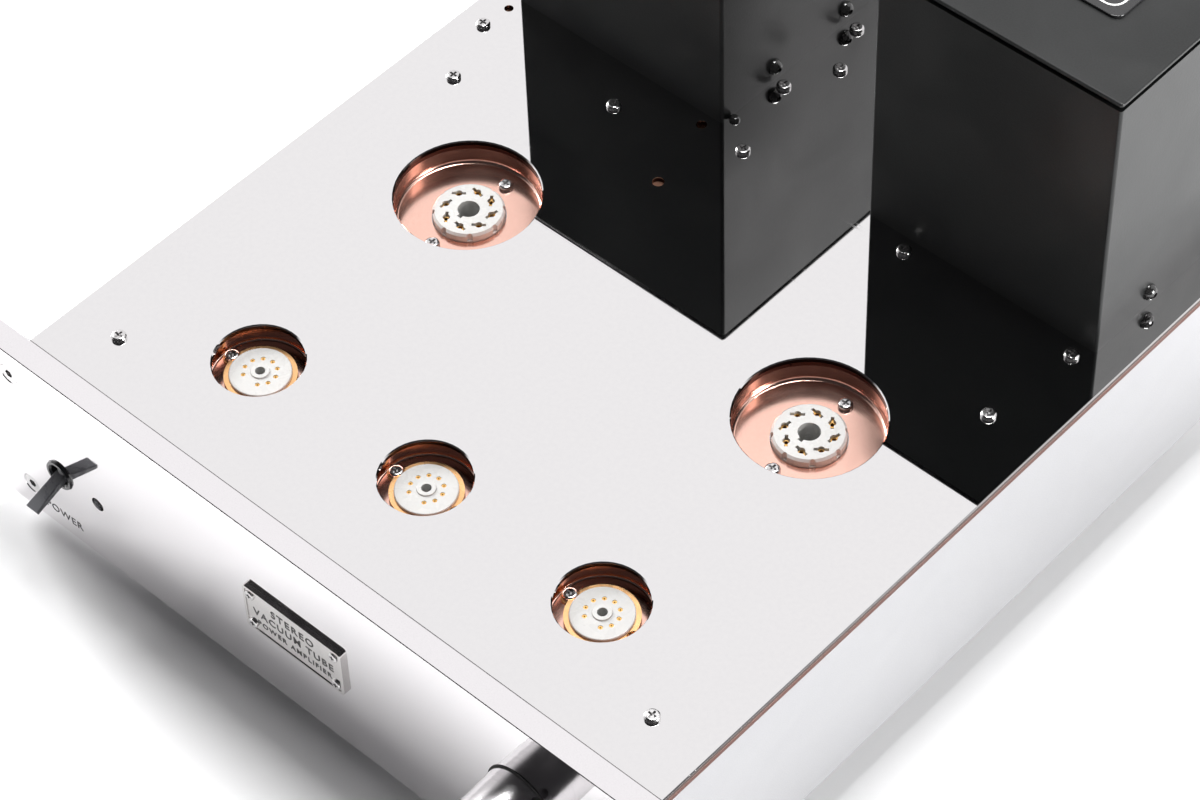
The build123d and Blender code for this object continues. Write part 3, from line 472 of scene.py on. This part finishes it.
class Palette:
    """Every finish of the amplifier, made once and shared by its pieces."""

    # Lifts the top-face colour's boundary over the sheet's top, so the pale colour runs a little down the
    # edges and hole rims as a painted highlight.
    rim_highlight_lift = 0.00035

    def __init__(self, effects: Effects) -> None:
        """Make all finishes.

        Args:
            effects: The shared node groups.
        """
        knob = _middle("volume_knob")
        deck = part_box("top_plate")[1]
        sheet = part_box("copper_chassis")[1]
        finishes = (
            # The deck's cut edges and hole walls take painted shade in a dark brown edge colour.
            ShadedEdgeSheet(
                "mirror_sheet", (0.80, 0.79, 0.79), (0.775, 0.765, 0.77), rough=0.012, rough_to=0.03,
                metallic=1.0, scale=500.0, relief=0.008, depth=0.00002, tone=0.6, smudge=9.0, hairline=0.04,
                top=deck.z, edge=(0.085, 0.042, 0.034),
            ),
            Finish(
                "bright_copper", (0.95, 0.61, 0.51), (0.92, 0.55, 0.45), rough=0.14, rough_to=0.22,
                metallic=1.0, scale=1400.0, relief=0.08, depth=0.00003, smudge=40.0,
            ),
            # Copper sheet: painted shade in dark brown on its cut edges and hole walls, paler copper on its
            # top face, with a painted highlight band down the hole rims.
            ShadedEdgeSheet(
                "copper_edge", (0.17, 0.062, 0.045), (0.12, 0.042, 0.032), rough=0.24, rough_to=0.38,
                metallic=1.0, grain=Grain.BRUSHED_Y, scale=1200.0, relief=0.15, smudge=60.0,
                top=sheet.z + self.rim_highlight_lift, edge=(0.155, 0.055, 0.040), face_and_rim_highlight=(0.62, 0.34, 0.23),
            ),
            Finish(
                "satin_sheet", (0.55, 0.55, 0.56), (0.48, 0.48, 0.495), rough=0.30, rough_to=0.38,
                metallic=1.0, scale=2200.0, relief=0.22, depth=0.00006, tone=0.7, smudge=18.0,
            ),
            Finish(
                "panel_plate", (0.86, 0.84, 0.85), (0.80, 0.78, 0.795), rough=0.03, rough_to=0.06,
                metallic=1.0, scale=2600.0, relief=0.05, depth=0.00003, tone=0.6, smudge=16.0,
                hairline=0.05,
            ),
            Ceramic(
                "white_ceramic", (0.58, 0.575, 0.56), (0.54, 0.53, 0.515), rough=0.22, rough_to=0.38,
                scale=900.0, relief=0.10, depth=0.00008, smudge=160.0, coat=0.25, coat_rough=0.12,
            ),
            Finish(
                "gold_contact", (0.95, 0.60, 0.22), (0.80, 0.42, 0.14), rough=0.16, rough_to=0.28,
                metallic=1.0, scale=1500.0, relief=0.1, smudge=200.0,
            ),
            Finish(
                "gold_ring", (0.92, 0.55, 0.27), (0.84, 0.46, 0.20), rough=0.20, rough_to=0.32,
                metallic=1.0, scale=1800.0, relief=0.12, smudge=120.0,
            ),
            Finish(
                "bright_screw", (0.72, 0.71, 0.71), (0.50, 0.49, 0.49), rough=0.14, rough_to=0.26,
                metallic=1.0, scale=1600.0, relief=0.12, smudge=220.0,
            ),
            Finish(
                "plated_steel", (0.62, 0.62, 0.63), (0.48, 0.48, 0.50), rough=0.28, rough_to=0.42,
                metallic=1.0, scale=1000.0, relief=0.2, smudge=60.0,
            ),
            Finish(
                "textured_black", (0.0055, 0.0062, 0.0062), (0.011, 0.012, 0.012), rough=0.28,
                rough_to=0.36, scale=1500.0, relief=0.26, depth=0.0001, tone=0.9, smudge=24.0,
                specular=0.45,
            ),
            Finish(
                "label_black", (0.020, 0.020, 0.021), (0.030, 0.030, 0.032), rough=0.22, rough_to=0.34,
                scale=1600.0, relief=0.15, smudge=30.0, coat=0.2,
            ),
            Finish(
                "border_line", (0.86, 0.86, 0.85), (0.74, 0.74, 0.73), rough=0.30, rough_to=0.42,
                scale=1200.0, relief=0.1, smudge=60.0,
            ),
            Finish(
                "black_screw", (0.018, 0.018, 0.018), (0.035, 0.034, 0.033), rough=0.10, rough_to=0.20,
                scale=900.0, relief=0.12, smudge=260.0, coat=0.6,
            ),
            Finish(
                "nickel_border", (0.68, 0.66, 0.65), (0.62, 0.60, 0.59), rough=0.12, rough_to=0.22,
                metallic=1.0, scale=2400.0, relief=0.10, smudge=60.0,
            ),
            Finish(
                "engraved_ink", (0.035, 0.033, 0.032), (0.075, 0.070, 0.066), rough=0.45, rough_to=0.62,
                scale=2200.0, relief=0.2, smudge=120.0,
            ),
            Finish(
                "gloss_black", (0.014, 0.014, 0.015), (0.026, 0.026, 0.028), rough=0.14, rough_to=0.26,
                scale=800.0, relief=0.08, smudge=180.0, coat=0.4,
            ),
            Finish(
                "lever_grey", (0.13, 0.132, 0.142), (0.17, 0.172, 0.182), rough=0.24, rough_to=0.34,
                scale=2400.0, relief=0.25, smudge=140.0,
            ),
            Finish(
                "turned_metal", (0.66, 0.645, 0.65), (0.50, 0.49, 0.50), rough=0.16, rough_to=0.26,
                metallic=1.0, grain=Grain.TURNED_Y, scale=5200.0, relief=0.22, depth=0.00003, tone=0.6,
                smudge=50.0, anisotropic=0.3, centre=knob,
            ),
            Finish(
                "black_felt", (0.012, 0.012, 0.012), (0.030, 0.029, 0.028), rough=0.85, rough_to=0.95,
                scale=3200.0, relief=0.8, depth=0.0002, smudge=200.0, sheen=0.3,
            ),
            Lens(
                "clear_lens", (0.86, 0.88, 0.90), (0.78, 0.80, 0.83), rough=0.06, rough_to=0.14,
                scale=900.0, relief=0.05, smudge=200.0, ior=1.47,
            ),
            Finish(
                "black_rubber", (0.022, 0.022, 0.022), (0.045, 0.044, 0.043), rough=0.62, rough_to=0.80,
                scale=1800.0, relief=0.4, depth=0.0001, smudge=60.0,
            ),
            Finish(
                "moulded_black", (0.020, 0.020, 0.021), (0.038, 0.038, 0.040), rough=0.34, rough_to=0.50,
                scale=1800.0, relief=0.3, smudge=80.0,
            ),
            Finish(
                "moulded_red", (0.42, 0.012, 0.012), (0.30, 0.008, 0.008), rough=0.20, rough_to=0.34,
                scale=1400.0, relief=0.15, smudge=120.0, coat=0.3,
            ),
            Finish(
                "turned_brass", (0.86, 0.62, 0.28), (0.70, 0.46, 0.18), rough=0.20, rough_to=0.34,
                metallic=1.0, grain=Grain.BRUSHED_X, scale=1600.0, relief=0.15, smudge=90.0,
            ),
            Finish(
                "lamination_stack", (0.21, 0.21, 0.22), (0.10, 0.095, 0.09), rough=0.40, rough_to=0.60,
                metallic=0.7, grain=Grain.STACKED, scale=1600.0, relief=0.6, depth=0.0003, smudge=50.0,
            ),
            Finish(
                "winding_paper", (0.62, 0.45, 0.20), (0.44, 0.30, 0.12), rough=0.55, rough_to=0.75,
                metallic=0.0, grain=Grain.WRAPPED, scale=700.0, relief=0.5, depth=0.0003, smudge=50.0,
            ),
            Finish(
                "green_laminate", (0.035, 0.13, 0.055), (0.060, 0.18, 0.080), rough=0.28, rough_to=0.42,
                scale=1400.0, relief=0.3, smudge=70.0,
            ),
            Finish(
                "shrink_sleeve", (0.030, 0.038, 0.075), (0.050, 0.058, 0.10), rough=0.22, rough_to=0.36,
                scale=900.0, relief=0.15, smudge=80.0, coat=0.3,
            ),
        )
        self._made = {finish.name: finish.make(effects) for finish in finishes}

    def dress(self, piece: Piece, name: str) -> None:
        """Give a piece one finish in all its slots.

        Args:
            piece: The object to dress.
            name: The finish's name.
        """
        if not piece.material_slots:
            piece.data.materials.append(self._made[name])
        for slot in piece.material_slots:
            slot.material = self._made[name]


def _middle(node: str) -> Point:
    """Give the middle of a CAD node's box.

    Args:
        node: The node's name.

    Returns:
        The point, in metres.
    """
    low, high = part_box(node)
    return tuple((low + high) / 2)


# ------------------------------------------------------------------------------------------ modelling helpers
class Workshop:
    """Makes and finishes new pieces by hand-like steps."""

    @staticmethod
    def clear() -> None:
        """Leave edit mode and deselect everything."""
        if bpy.context.object is not None and bpy.context.object.mode != "OBJECT":
            bpy.ops.object.mode_set(mode="OBJECT")
        bpy.ops.object.select_all(action="DESELECT")

    @staticmethod
    def pick(piece: Piece) -> None:
        """Make one object the only selected and active one.

        Args:
            piece: The object.
        """
        Workshop.clear()
        piece.select_set(True)
        bpy.context.view_layer.objects.active = piece

    @staticmethod
    def settle(piece: Piece, name: str, body: str, slot: str) -> Piece:
        """Apply the piece's place, name it, and put it on its body.

        Args:
            piece: The new piece.
            name: Its name.
            body: The CAD body it rides on.
            slot: The record's material slot; not used.

        Returns:
            The piece.
        """
        Workshop.pick(piece)
        bpy.ops.object.transform_apply(location=True, rotation=True, scale=True)
        piece.name = name
        piece.data.name = name
        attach(piece, body)
        log.info("piece %s on %s: %d faces", name, body, len(piece.data.polygons))
        return piece

    @staticmethod
    def apply(piece: Piece, kind: str, **settings: object) -> None:
        """Add one modifier and apply it.

        Args:
            piece: The object.
            kind: The modifier's type.
            settings: Its properties.
        """
        Workshop.pick(piece)
        modifier = piece.modifiers.new(kind.lower(), kind)
        for key, value in settings.items():
            setattr(modifier, key, value)
        bpy.ops.object.modifier_apply(modifier=modifier.name)

    @staticmethod
    def words(
        text: str,
        size: float,
        place: Point,
        turn: Point,
        thick: float,
        spacing: float = 1.12,
        heavier: float = 0.0,
    ) -> Piece:
        """Make raised or inlaid lettering as a mesh, centred on its place.

        Args:
            text: Generic words.
            size: Letter size.
            place: Middle of the line.
            turn: Rotation, in radians.
            thick: Thickness of the letters.
            spacing: Letter spacing, 1 being the font's own.
            heavier: How far each stroke is widened.

        Returns:
            The mesh object.
        """
        Workshop.clear()
        bpy.ops.object.text_add(location=place, rotation=turn)
        made = bpy.context.object
        made.data.body = text
        made.data.size = size
        made.data.align_x = "CENTER"
        made.data.align_y = "CENTER"
        made.data.space_character = spacing
        made.data.offset = heavier
        made.data.extrude = thick / 2
        made.data.resolution_u = 3
        bpy.ops.object.convert(target="MESH")
        return bpy.context.object

    @staticmethod
    def line_frame(
        size: tuple[float, float], radius: float, width: float, thick: float, place: Point
    ) -> Piece:
        """Make a thin flat frame line with round corners, lying level.

        Args:
            size: Outer length along X and Y.
            radius: Outer corner radius.
            width: Width of the line.
            thick: Its thickness.
            place: Middle of its underside.

        Returns:
            The mesh object.
        """
        Workshop.clear()
        bpy.ops.mesh.primitive_plane_add(size=1.0, location=place)
        made = bpy.context.object
        made.scale = (size[0], size[1], 1.0)
        bpy.ops.object.transform_apply(location=False, rotation=False, scale=True)
        bpy.ops.object.mode_set(mode="EDIT")
        bpy.ops.mesh.select_all(action="SELECT")
        bpy.ops.mesh.bevel(offset=radius, segments=8, affect="VERTICES")
        bpy.ops.mesh.select_all(action="SELECT")
        bpy.ops.mesh.inset(thickness=width)
        bpy.ops.mesh.delete(type="FACE")
        bpy.ops.mesh.select_all(action="SELECT")
        bpy.ops.mesh.extrude_region_move(TRANSFORM_OT_translate={"value": (0, 0, thick)})
        bpy.ops.mesh.select_all(action="SELECT")
        bpy.ops.mesh.normals_make_consistent(inside=False)
        bpy.ops.object.mode_set(mode="OBJECT")
        return made

    @staticmethod
    def cross_screw(radius: float, height: float) -> Piece:
        """Make one pan-head screw head with a cross recess, seat at Z0, standing at the origin.

        Args:
            radius: Head radius.
            height: Head height.

        Returns:
            The mesh object.
        """
        Workshop.clear()
        middle = (0, 0, height / 2)
        bpy.ops.mesh.primitive_cylinder_add(vertices=32, radius=radius, depth=height, location=middle)
        head = bpy.context.object
        corner = math.radians(60)
        rim = {"width": height * 0.45, "segments": 4, "limit_method": "ANGLE", "angle_limit": corner}
        Workshop.apply(head, "BEVEL", **rim)
        cutters = []
        for turn in (0.0, math.pi / 2):
            Workshop.clear()
            bpy.ops.mesh.primitive_cube_add(size=1.0, location=(0, 0, height), rotation=(0, 0, turn))
            cutter = bpy.context.object
            cutter.scale = (radius * 1.15, radius * 0.26, height * 1.1)
            bpy.ops.object.transform_apply(location=True, rotation=True, scale=True)
            cutters.append(cutter)
        for cutter in cutters:
            Workshop.apply(head, "BOOLEAN", object=cutter, operation="DIFFERENCE", solver="EXACT")
            bpy.data.objects.remove(cutter)
        Workshop.pick(head)
        bpy.ops.object.shade_smooth_by_angle(angle=math.radians(35))
        return head

    @staticmethod
    def copies(source: Piece, places: Sequence[Matrix], name: str, body: str, slot: str) -> Piece:
        """Copy a piece to several places and join the copies into one piece.

        Args:
            source: The piece to copy, removed at the end.
            places: Where each copy goes.
            name: The joined piece's name.
            body: The CAD body it rides on.
            slot: The record's material slot, passed on to settle, which does not use it.

        Returns:
            The joined piece.
        """
        made = []
        for place in places:
            twin = source.copy()
            twin.data = source.data.copy()
            bpy.context.scene.collection.objects.link(twin)
            twin.matrix_world = place
            made.append(twin)
        bpy.data.objects.remove(source)
        Workshop.clear()
        for twin in made:
            twin.select_set(True)
        bpy.context.view_layer.objects.active = made[0]
        bpy.ops.object.join()
        return Workshop.settle(bpy.context.object, name, body, slot)


# ------------------------------------------------------------------------------------------ sub-assemblies
@dataclass
class Deck:
    """Mirror deck, copper chassis sheet and their screws."""

    palette: Palette
    finishes: dict[str, str] = field(
        default_factory=lambda: {
            "top_plate": "mirror_sheet",
            "copper_chassis": "copper_edge",
            "top_plate_screws": "bright_screw",
        }
    )

    def build(self, nodes: Nodes) -> None:
        """Dress the CAD nodes.

        Args:
            nodes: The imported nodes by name.
        """
        _dress_all(self.palette, nodes, self.finishes)


@dataclass
class Sockets:
    """Copper wells with the ceramic tube sockets in them."""

    palette: Palette
    octal_sides: tuple[str, ...] = ("left", "right")
    noval_sides: tuple[str, ...] = ("left", "centre", "right")

    def build(self, nodes: Nodes) -> None:
        """Dress the wells, sockets, contacts and screws.

        Args:
            nodes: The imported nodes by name.
        """
        finishes = {
            "octal_contacts": "gold_contact",
            "noval_contacts": "gold_contact",
            "octal_saddles": "plated_steel",
            "noval_saddles": "gold_ring",
            "socket_screws": "bright_screw",
        }
        for side in self.octal_sides:
            finishes[f"octal_well_{side}"] = "bright_copper"
            finishes[f"octal_socket_{side}"] = "white_ceramic"
        for side in self.noval_sides:
            finishes[f"noval_well_{side}"] = "bright_copper"
            finishes[f"noval_socket_{side}"] = "white_ceramic"
        _dress_all(self.palette, nodes, finishes)


@dataclass
class Covers:
    """Transformer covers with their lids, label plates and screws, and the transformers inside."""

    palette: Palette
    line_inset: float = 0.0030
    line_width: float = 0.00075
    line_thick: float = 0.00015
    corner: float = 0.0050

    def build(self, nodes: Nodes) -> None:
        """Dress the covers and lay the pale border line on each label plate.

        Args:
            nodes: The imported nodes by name.
        """
        finishes = {
            "cover_screws": "black_screw",
            "cover_base_frames": "plated_steel",
            "transformer_bolts": "plated_steel",
        }
        for side in ("left", "right"):
            finishes[f"transformer_cover_{side}"] = "textured_black"
            finishes[f"cover_lid_{side}"] = "textured_black"
            finishes[f"cover_label_{side}"] = "label_black"
            finishes[f"transformer_core_{side}"] = "lamination_stack"
            finishes[f"transformer_coil_{side}"] = "winding_paper"
            self._border(side)
        _dress_all(self.palette, nodes, finishes)

    def _border(self, side: str) -> None:
        """Lay the border line on one label plate.

        Args:
            side: Which cover.
        """
        low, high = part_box(f"cover_label_{side}")
        size = (high.x - low.x - 2 * self.line_inset, high.y - low.y - 2 * self.line_inset)
        place = ((low.x + high.x) / 2, (low.y + high.y) / 2, high.z - SINK)
        line = Workshop.line_frame(size, self.corner, self.line_width, self.line_thick, place)
        self.palette.dress(line, "border_line")
        Workshop.settle(line, f"label_line_{side}", "chassis", "nickel_plate")


@dataclass
class FrontPanel:
    """Thick front panel with its bolts, nameplate, legend and pilot lamp."""

    palette: Palette
    letter: float = 0.0052
    legend_left: float = 0.0024
    legend_drop: float = 0.0242
    recess: float = 0.0003
    stroke: float = 0.00007
    lines: tuple[tuple[str, float, float, float], ...] = (
        ("STEREO", 0.0050, 0.0050, 1.25),
        ("VACUUM TUBE", 0.0048, -0.0003, 1.22),
        ("POWER AMPLIFIER", 0.0034, -0.0054, 1.30),
    )

    def build(self, nodes: Nodes) -> None:
        """Dress the panel and add its generic lettering.

        Args:
            nodes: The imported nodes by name.
        """
        _dress_all(
            self.palette,
            nodes,
            {
                "front_panel": "panel_plate",
                "front_subpanel": "satin_sheet",
                "panel_bolts": "bright_screw",
                "nameplate": "nickel_border",
                "nameplate_screws": "bright_screw",
                "pilot_lamp": "clear_lens",
            },
        )
        self._legend()
        self._plate_words()

    def _legend(self) -> None:
        """Print the generic word under the switch."""
        low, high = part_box("switch_bezel")
        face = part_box("front_panel")[0].y
        place = (
            (low.x + high.x) / 2 - self.legend_left,
            face - INK_THICK / 2 + SINK,
            (low.z + high.z) / 2 - self.legend_drop,
        )
        word = Workshop.words("POWER", self.letter, place, UPRIGHT, INK_THICK)
        self.palette.dress(word, "engraved_ink")
        Workshop.settle(word, "power_legend", "chassis", "black_gloss")

    def _plate_words(self) -> None:
        """Fill the nameplate's field with three generic lines."""
        low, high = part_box("nameplate")
        field_y = low.y + self.recess
        middle = (low.x + high.x) / 2
        height = (low.z + high.z) / 2
        for index, (text, size, rise, spacing) in enumerate(self.lines):
            place = (middle, field_y - INK_THICK / 2 + SINK, height + rise)
            word = Workshop.words(text, size, place, UPRIGHT, INK_THICK, spacing, self.stroke)
            self.palette.dress(word, "engraved_ink")
            Workshop.settle(word, f"nameplate_words_{index}", "chassis", "black_gloss")


@dataclass
class Controls:
    """Toggle switch and volume control."""

    palette: Palette

    def build(self, nodes: Nodes) -> None:
        """Dress the switch, knob and their works.

        Args:
            nodes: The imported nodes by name.
        """
        _dress_all(
            self.palette,
            nodes,
            {
                "switch_body": "moulded_black",
                "switch_bezel": "gloss_black",
                "switch_lever": "lever_grey",
                "volume_knob": "turned_metal",
                "potentiometer_shaft": "plated_steel",
                "potentiometer_body": "plated_steel",
                "knob_washer": "black_felt",
            },
        )


@dataclass
class Case:
    """Side, rear and bottom panels, feet, and the screws that hold them."""

    palette: Palette
    screw_radius: float = 0.0028
    screw_height: float = 0.0014
    margin: float = 0.008
    bottom_rows: int = 5

    def build(self, nodes: Nodes) -> None:
        """Dress the case and add the screws of the bottom and rear panels.

        Args:
            nodes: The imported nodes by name.
        """
        _dress_all(
            self.palette,
            nodes,
            {
                "side_panel_left": "satin_sheet",
                "side_panel_right": "satin_sheet",
                "rear_panel": "satin_sheet",
                "bottom_plate": "satin_sheet",
                "feet": "satin_sheet",
                "foot_pads": "black_rubber",
            },
        )
        self._bottom_screws()
        self._rear_screws()

    def _bottom_screws(self) -> None:
        """Screw the bottom plate along its edges."""
        low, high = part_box("bottom_plate")
        turn = Matrix.Rotation(math.pi, 4, "X")
        places = []
        for x in (low.x + self.margin, high.x - self.margin):
            for step in range(self.bottom_rows):
                y = low.y + self.margin + step * (high.y - low.y - 2 * self.margin) / (self.bottom_rows - 1)
                places.append(Matrix.Translation((x, y, low.z)) @ turn)
        head = Workshop.cross_screw(self.screw_radius, self.screw_height)
        piece = Workshop.copies(head, places, "bottom_screws", "chassis", "steel")
        self.palette.dress(piece, "bright_screw")

    def _rear_screws(self) -> None:
        """Screw the rear panel along its upper and lower edges."""
        low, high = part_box("rear_panel")
        turn = Matrix.Rotation(-math.pi / 2, 4, "X")
        places = []
        for z in (low.z + self.margin, high.z - self.margin):
            for x in (low.x + self.margin, 0.0, high.x - self.margin):
                places.append(Matrix.Translation((x, high.y, z)) @ turn)
        head = Workshop.cross_screw(self.screw_radius, self.screw_height)
        piece = Workshop.copies(head, places, "rear_screws", "chassis", "steel")
        self.palette.dress(piece, "bright_screw")


@dataclass
class Connectors:
    """Rear connectors, their moving caps and drawer, and their generic legends."""

    palette: Palette
    letter: float = 0.0045
    legends: tuple[tuple[str, str, float], ...] = (
        ("AC INPUT", "mains_inlet", 0.0065),
        ("INPUT", "rca_jack", 0.010),
        ("SPEAKER", "post_bases", 0.010),
    )

    def build(self, nodes: Nodes) -> None:
        """Dress the connectors and print their legends.

        Args:
            nodes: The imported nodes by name.
        """
        finishes = {
            "mains_inlet": "moulded_black",
            "fuse_drawer": "moulded_black",
            "rca_jack": "gold_contact",
            "post_bases": "turned_brass",
            "post_cap_red": "moulded_red",
            "post_cap_black": "moulded_black",
            "post_insert_red": "turned_brass",
            "post_insert_black": "turned_brass",
            "circuit_board": "green_laminate",
            "capacitors": "shrink_sleeve",
        }
        _dress_all(self.palette, nodes, finishes)
        for text, node, drop in self.legends:
            self._legend(text, node, drop)

    def _legend(self, text: str, node: str, drop: float) -> None:
        """Print one legend under a connector.

        Args:
            text: The generic word.
            node: The connector's node.
            drop: How far below the node's lowest edge.
        """
        low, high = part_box(node)
        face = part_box("rear_panel")[1].y
        place = ((low.x + high.x) / 2, face + INK_THICK / 2 - SINK, low.z - drop + self.letter / 2)
        word = Workshop.words(text, self.letter, place, UPRIGHT_BACKWARD, INK_THICK)
        self.palette.dress(word, "engraved_ink")
        Workshop.settle(word, text.lower().replace(" ", "_") + "_legend", "chassis", "black_gloss")


def _dress_all(palette: Palette, nodes: Nodes, finishes: dict[str, str]) -> None:
    """Dress several CAD nodes.

    Args:
        palette: The finishes.
        nodes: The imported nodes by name.
        finishes: Node name to finish name.
    """
    for node, finish in finishes.items():
        palette.dress(nodes[node], finish)
        log.info("node %s: %s", node, finish)


# ------------------------------------------------------------------------------------------ studio
@dataclass(frozen=True)
class SoftLight:
    """One soft square light: its name, place, aim, side and power in watts."""

    name: str
    place: Point
    aim: Point
    size: float
    power: float


@dataclass
class Studio:
    """Pale floor, soft lights and the camera."""

    lights: tuple[SoftLight, ...] = (
        SoftLight("overhead_softbox", (-0.1, 0.50, 2.3), (-0.1, -0.1, 0.0), 0.8, 46.0),
        SoftLight("left_softbox", (-1.75, 0.12, 0.95), (-0.2, -0.3, 0.0), 0.6, 40.0),
        SoftLight("back_right_card", (0.95, 1.0, 1.65), (0.0, 0.0, 0.1), 0.8, 2.6),
        SoftLight("right_key", (1.75, 0.42, 0.46), (0.1, 0.1, 0.1), 0.6, 44.0),
    )
    floor_size: float = 8.0
    floor_pale: Colour = (0.93, 0.93, 0.93)
    floor_second: Colour = (0.90, 0.90, 0.905)
    eye: Point = (0.604478, -0.660943, 1.0634)
    right: Point = (0.73922, 0.67289, -0.0277)
    down: Point = (0.49612, -0.57192, -0.65328)
    ahead: Point = (-0.45543, 0.46918, -0.75661)
    lens: float = 113.914
    sensor: float = 36.0
    nearest: float = 0.05
    farthest: float = 50.0
    dim_direction: Point = (0.45, -0.65, 0.61)
    dim_from: float = 0.12
    dim_to: float = 0.36
    bright: Colour = (1.06, 1.05, 1.06)
    dim: Colour = (0.035, 0.034, 0.036)

    def build(self) -> None:
        """Set the floor, the surroundings, the lights and the camera."""
        self._floor()
        self._surroundings()
        for light in self.lights:
            self._light(light)
        self._camera()
        bpy.context.scene.view_settings.view_transform = "Standard"

    def _floor(self) -> None:
        """Lay the pale floor."""
        Workshop.clear()
        bpy.ops.mesh.primitive_plane_add(size=self.floor_size)
        floor = bpy.context.object
        floor.name = "studio_floor"
        material = bpy.data.materials.new("floor_paper")
        material.use_nodes = True
        b = Bench(material.node_tree)
        shader = material.node_tree.nodes["Principled BSDF"]
        shader.inputs["Roughness"].default_value = 0.75
        place = b.node("ShaderNodeTexCoord").outputs["Object"]
        noise = b.node("ShaderNodeTexNoise", {"Vector": place, "Scale": 3.0, "Detail": 2.0})
        paper = b.blend(noise.outputs["Fac"], self.floor_pale, self.floor_second)
        b.tree.links.new(paper, shader.inputs["Base Color"])
        floor.data.materials.append(material)

    def _surroundings(self) -> None:
        """Light the room evenly, with one dim quarter for the dark faces to reflect."""
        world = bpy.data.worlds.new("soft_room")
        world.use_nodes = True
        bpy.context.scene.world = world
        b = Bench(world.node_tree)
        back = world.node_tree.nodes["Background"]
        aim = b.node("ShaderNodeTexCoord").outputs["Generated"]
        towards = Vector(self.dim_direction).normalized()
        dot = b.node("ShaderNodeVectorMath", {0: aim, 1: towards}, operation="DOT_PRODUCT")
        mask = b.spread(dot.outputs["Value"], self.dim_from, self.dim_to)
        b.tree.links.new(b.blend(mask, self.bright, self.dim), back.inputs["Color"])

    @staticmethod
    def _light(light: SoftLight) -> None:
        """Hang one soft square light.

        Args:
            light: The light.
        """
        data = bpy.data.lights.new(light.name, "AREA")
        data.size = light.size
        data.energy = light.power
        lamp = bpy.data.objects.new(light.name, data)
        bpy.context.scene.collection.objects.link(lamp)
        lamp.location = light.place
        ahead = Vector(light.aim) - Vector(light.place)
        lamp.rotation_euler = ahead.to_track_quat("-Z", "Y").to_euler()

    def _camera(self) -> None:
        """Place the camera."""
        data = bpy.data.cameras.new("view")
        data.lens = self.lens
        data.sensor_width = self.sensor
        data.clip_start = self.nearest
        data.clip_end = self.farthest
        camera = bpy.data.objects.new("view", data)
        bpy.context.scene.collection.objects.link(camera)
        turn = Matrix((Vector(self.right), -Vector(self.down), -Vector(self.ahead))).transposed().to_4x4()
        camera.matrix_world = Matrix.Translation(self.eye) @ turn
        bpy.context.scene.camera = camera


def main() -> None:
    """Build the looks of the whole amplifier, sub-assembly by sub-assembly."""
    logging.basicConfig(level=logging.INFO, format="%(name)s: %(message)s")
    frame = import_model()
    nodes = frame["nodes"]
    Studio().build()
    palette = Palette(Effects())
    for part in (Deck, Sockets, Covers, FrontPanel, Controls, Case, Connectors):
        log.info("building %s", part.__name__)
        part(palette).build(nodes)


if __name__ == "__main__":
    main()
